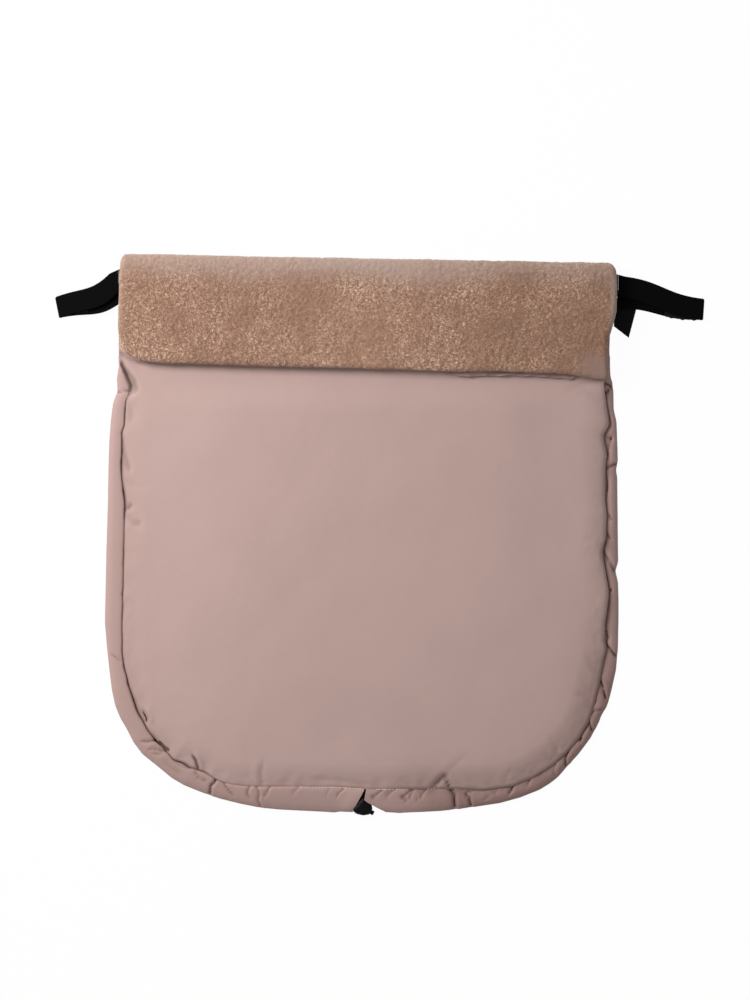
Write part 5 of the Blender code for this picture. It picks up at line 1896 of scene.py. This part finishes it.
@dataclass
class CordAndLock:
    """The drawcord's two strands, their knot, and the lock that they run through."""

    diameter: float = 2.5 * MM
    spacing: float = 3.0 * MM
    lock: Triple = (3.0 * MM, 9.5 * MM, 6.2 * MM)
    yaw: float = math.radians(45)
    radius: float = 5.2 * MM
    travel: float = 5.6 * MM
    step: float = 1.6 * MM
    bend_x: float = 40 * MM
    low_z: float = 3.05 * MM
    left_near: tuple[Triple, ...] = (
        (-25.0, 16.0, 4.05), (-14.5, 18.5, 5.2), (-8.8, 17.7, 6.2))
    right_near: tuple[Triple, ...] = (
        (25.0, 18.5, 3.55), (13.0, 22.5, 4.65), (2.9, 23.8, 5.4), (-0.9, 22.3, 5.8),
        (-2.2, 18.9, 6.2))
    body: Line = (
        (363.9, 795.6), (365.2, 801.2), (371.4, 804.4), (372.4, 809.3), (370.6, 813.4),
        (366.0, 814.6), (360.0, 814.3), (354.6, 812.2), (353.0, 810.4), (357.4, 804.0),
        (360.6, 799.3))

    def spot(self, u: float, v: float) -> Array:
        """World place of a point of the lock, along its barrel and along the cords."""
        x, rise, z = self.lock
        frame = (Matrix.Translation((x, FORM.lower_y + rise, z))
                 @ Matrix.Rotation(self.yaw, 4, "Z"))
        return np.array(frame @ Vector((u, -v, 0.0)))

    @staticmethod
    def edge_path(end_x: float) -> Array:
        """The frame's own right-hand edge, from the casing's top to a column below."""
        side = [(float(FORM.half_width(y)), y)
                for y in np.linspace(FORM.rim_top_y, FORM.curve_y, 200)]
        power = 2 / FORM.curve_power
        curve = [(FORM.width / 2 * max(0.0, math.cos(a)) ** power,
                  FORM.curve_y - FORM.curve_depth * math.sin(a) ** power)
                 for a in np.linspace(0.0, math.pi / 2, 400)[1:]]
        path = [point for point in side + curve if point[0] > end_x]
        path.append((end_x, path[-1][1]))
        return np.array(path)

    def route(self, side: int) -> Array:
        """Middle line of one strand.

        Args:
            side: -1 for the left strand and 1 for the right one.

        Returns:
            Its points from the casing's top to the knot.
        """
        path = Course.resample(self.edge_path(self.bend_x), 45 * MM)
        tangent = unit(np.gradient(path, axis=0))
        normal = np.column_stack([tangent[:, 1], -tangent[:, 0]])
        along_side = FORM.rim_left if side < 0 else FORM.rim_right
        share = ease((FORM.curve_y - path[:, 1]) / FORM.curve_depth)
        widths = along_side + (FORM.rim_bottom - along_side) * share
        middle = path + normal * widths[:, None] / 2
        middle[0, 1] = FORM.rim_top_y - FORM.gap
        route = [np.array((side * x + float(FORM.lean(y)), y, self.low_z)) for x, y in middle]
        near = self.left_near if side < 0 else self.right_near
        route += [np.array((x * MM, FORM.lower_y + rise * MM, z * MM)) for x, rise, z in near]
        straight = self.radius + 0.6 * MM
        end = self.radius + self.travel + FORM.gap
        lane = side * self.spacing / 2
        route += [self.spot(lane, v) for v in (-1.4 * straight, -straight, straight, end)]
        ends = [2 * route[0] - route[1], *route, 2 * route[-1] - route[-2]]
        dense = []
        for a, b, c, d in zip(ends, ends[1:], ends[2:], ends[3:]):
            for t in np.linspace(0.0, 1.0, 12, endpoint=False):
                dense.append(0.5 * (2 * b + (c - a) * t + (2 * a - 5 * b + 4 * c - d) * t * t
                                    + (3 * b - a - 3 * c + d) * t ** 3))
        dense.append(route[-1])
        return Course.resample(np.array(dense), self.step)

    @staticmethod
    def build_knot() -> Item:
        """Model the knot as a cord looped over and under itself."""
        low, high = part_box("cord_knot")
        middle = (np.array(low) + np.array(high)) / 2
        half = (np.array(high) - np.array(low)) / 2
        thick = 1.05 * MM
        turn = np.linspace(0.0, 2 * math.pi, 97)
        loop = np.column_stack([np.sin(turn) + 2 * np.sin(2 * turn),
                                np.cos(turn) - 2 * np.cos(2 * turn), -1.6 * np.sin(3 * turn)])
        loop /= np.abs(loop).max(axis=0)
        return tube("knot_cord", middle + loop * (half - thick), thick)

    def build(self, wardrobe: Wardrobe) -> None:
        """Model and dress the cords and their knot."""
        pieces = []
        for name, side in (("left", -1), ("right", 1)):
            route = self.route(side)
            left = np.arange(len(route))[::-1] * self.step
            thick = self.diameter / 2 + 0.4 * MM * ease((17 * MM - left) / (4 * MM))
            pieces.append((tube("draw_" + name, route, thick), "drawcord_" + name))
        pieces.append((self.build_knot(), "cord_knot"))
        for item, node in pieces:
            install(item, wardrobe.cord, "blanket", (node,))

    def build_lock(self, wardrobe: Wardrobe) -> None:
        """Model the lock's moulded body: a flat pebble with a groove round it."""
        low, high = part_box("cord_lock_barrel")
        columns, rows = 56, 24
        spots = VIEW.line(self.body)
        centre = spots.mean(axis=0)
        turn = np.arctan2(*(spots - centre).T[::-1])
        order = np.argsort(turn)
        reach = np.linalg.norm(spots - centre, axis=1)[order]
        middle, half = (high[2] + low[2]) / 2, (high[2] - low[2]) / 2

        def rule(column: Array, row: Array) -> Spots:
            angle = 2 * math.pi * column / columns
            polar = math.pi * row / rows
            wide = np.interp(angle, turn[order], reach, period=2 * math.pi)
            rise = np.sign(np.cos(polar)) * np.abs(np.cos(polar)) ** 0.75
            groove = 1 - 0.06 * bell(np.abs(rise) - 0.35, 0.10)
            wide = wide * np.sin(polar) ** 0.45 * groove
            return (centre[0] + wide * np.cos(angle), centre[1] + wide * np.sin(angle),
                    middle + half * rise)

        item = grid("lock_body", columns, rows, rule)
        weld(item)
        smooth(item, 60)
        install(item, wardrobe.plastic, "cord_lock", ("cord_lock_barrel",))


@dataclass
class Studio:
    """Camera straight above, white floor, soft light from the upper left."""

    key_power: float = 40.0
    sky: float = 0.40
    window: Triple = (-1.35, 0.85, 1.25)

    @staticmethod
    def put(name: str, data: Any, place: Sequence[float]) -> Item:
        """Add a camera or a lamp at a place."""
        item = bpy.data.objects.new(name, data)
        item.location = place
        bpy.context.scene.collection.objects.link(item)
        return item

    def set_camera(self) -> None:
        """Place the camera of the photograph."""
        data = bpy.data.cameras.new("overhead_camera")
        data.lens = VIEW.lens
        data.sensor_width = VIEW.sensor
        data.sensor_fit = "AUTO"
        data.clip_end = 50.0
        place = (*VIEW.centre, VIEW.distance())
        bpy.context.scene.camera = self.put("overhead_camera", data, place)

    def lay_floor(self) -> None:
        """Lay a white floor that still takes the blanket's shadow."""
        deselect()
        bpy.ops.mesh.primitive_grid_add(x_subdivisions=4, y_subdivisions=4, size=12,
                                        location=(0.0, 0.0, -0.3 * MM))
        floor = bpy.context.object
        floor.name = "studio_floor"
        mix = Recipe("white_floor")
        mix.shade(Base_Color=(0.86, 0.86, 0.86), Roughness=0.9)
        glow = mix.node("ShaderNodeEmission", None,
                        {"Color": (1.0, 1.0, 1.0), "Strength": 1.0})
        path = mix.node("ShaderNodeLightPath")
        camera, glossy, through = (Socket(mix, path.outputs[f"Is {ray} Ray"])
                                   for ray in ("Camera", "Glossy", "Transmission"))
        share = (camera + glossy + through).limited() * 0.97
        cover = mix.node("ShaderNodeMixShader", None,
                         {0: share, 1: mix.shader.outputs[0], 2: glow.outputs[0]})
        mix.join(mix.output.inputs["Surface"], cover.outputs[0])
        floor.data.materials.append(mix.material)

    def light(self) -> None:
        """Set the world and the key lamp."""
        world = bpy.data.worlds.new("soft_room")
        world.use_nodes = True
        bpy.context.scene.world = world
        sky = world.node_tree.nodes["Background"]
        sky.inputs["Color"].default_value = (1.0, 1.0, 1.0, 1.0)
        sky.inputs["Strength"].default_value = self.sky
        data = bpy.data.lights.new("window_light", "AREA")
        data.energy = self.key_power
        data.shape = "DISK"
        data.size = 0.9
        lamp = self.put("window_light", data, self.window)
        lamp.rotation_euler = (-lamp.location).to_track_quat("-Z", "Y").to_euler()
        bpy.context.scene.view_settings.view_transform = "Standard"


def main() -> None:
    """Build every sub-assembly round the frame."""
    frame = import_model()
    studio = Studio()
    studio.set_camera()
    studio.lay_floor()
    studio.light()
    wardrobe = Wardrobe()
    plan = PadPlan()
    PaddedPanel(plan).build(wardrobe)
    PlushLining(plan).build(wardrobe)
    RimCasing(-1, LEFT_MOUTH, ClothNoise(41), 0.12, LEFT_CREASES).build(wardrobe)
    RimCasing(1, RIGHT_MOUTH, ClothNoise(43), 0.45, RIGHT_CREASES).build(wardrobe)
    cuff = TurnedCuff()
    cuff.build_lap(wardrobe)
    cuff.build_turn(wardrobe)
    cuff.build_turn_cloth(wardrobe)
    cuff.build_facing(wardrobe)
    WebStrap("left", -1, 29.7 * MM, 76.5 * MM, 3.5 * MM, math.radians(23.0),
             math.radians(9.7), -4.8 * MM, -1.6 * MM).build(wardrobe)
    WebStrap("right", 1, 35.0 * MM, 102.2 * MM, 3.2 * MM, math.radians(15.5),
             math.radians(7.8), -0.3 * MM, 2.0 * MM, hook_shift=2.8 * MM).build(wardrobe)
    SideLabel().build(wardrobe)
    cords = CordAndLock()
    cords.build(wardrobe)
    cords.build_lock(wardrobe)
    dress(frame["nodes"]["cord_lock_plunger"], wardrobe.plastic)
    dress(frame["nodes"]["cord_lock_spring"], wardrobe.steel)


if __name__ == "__main__":
    main()
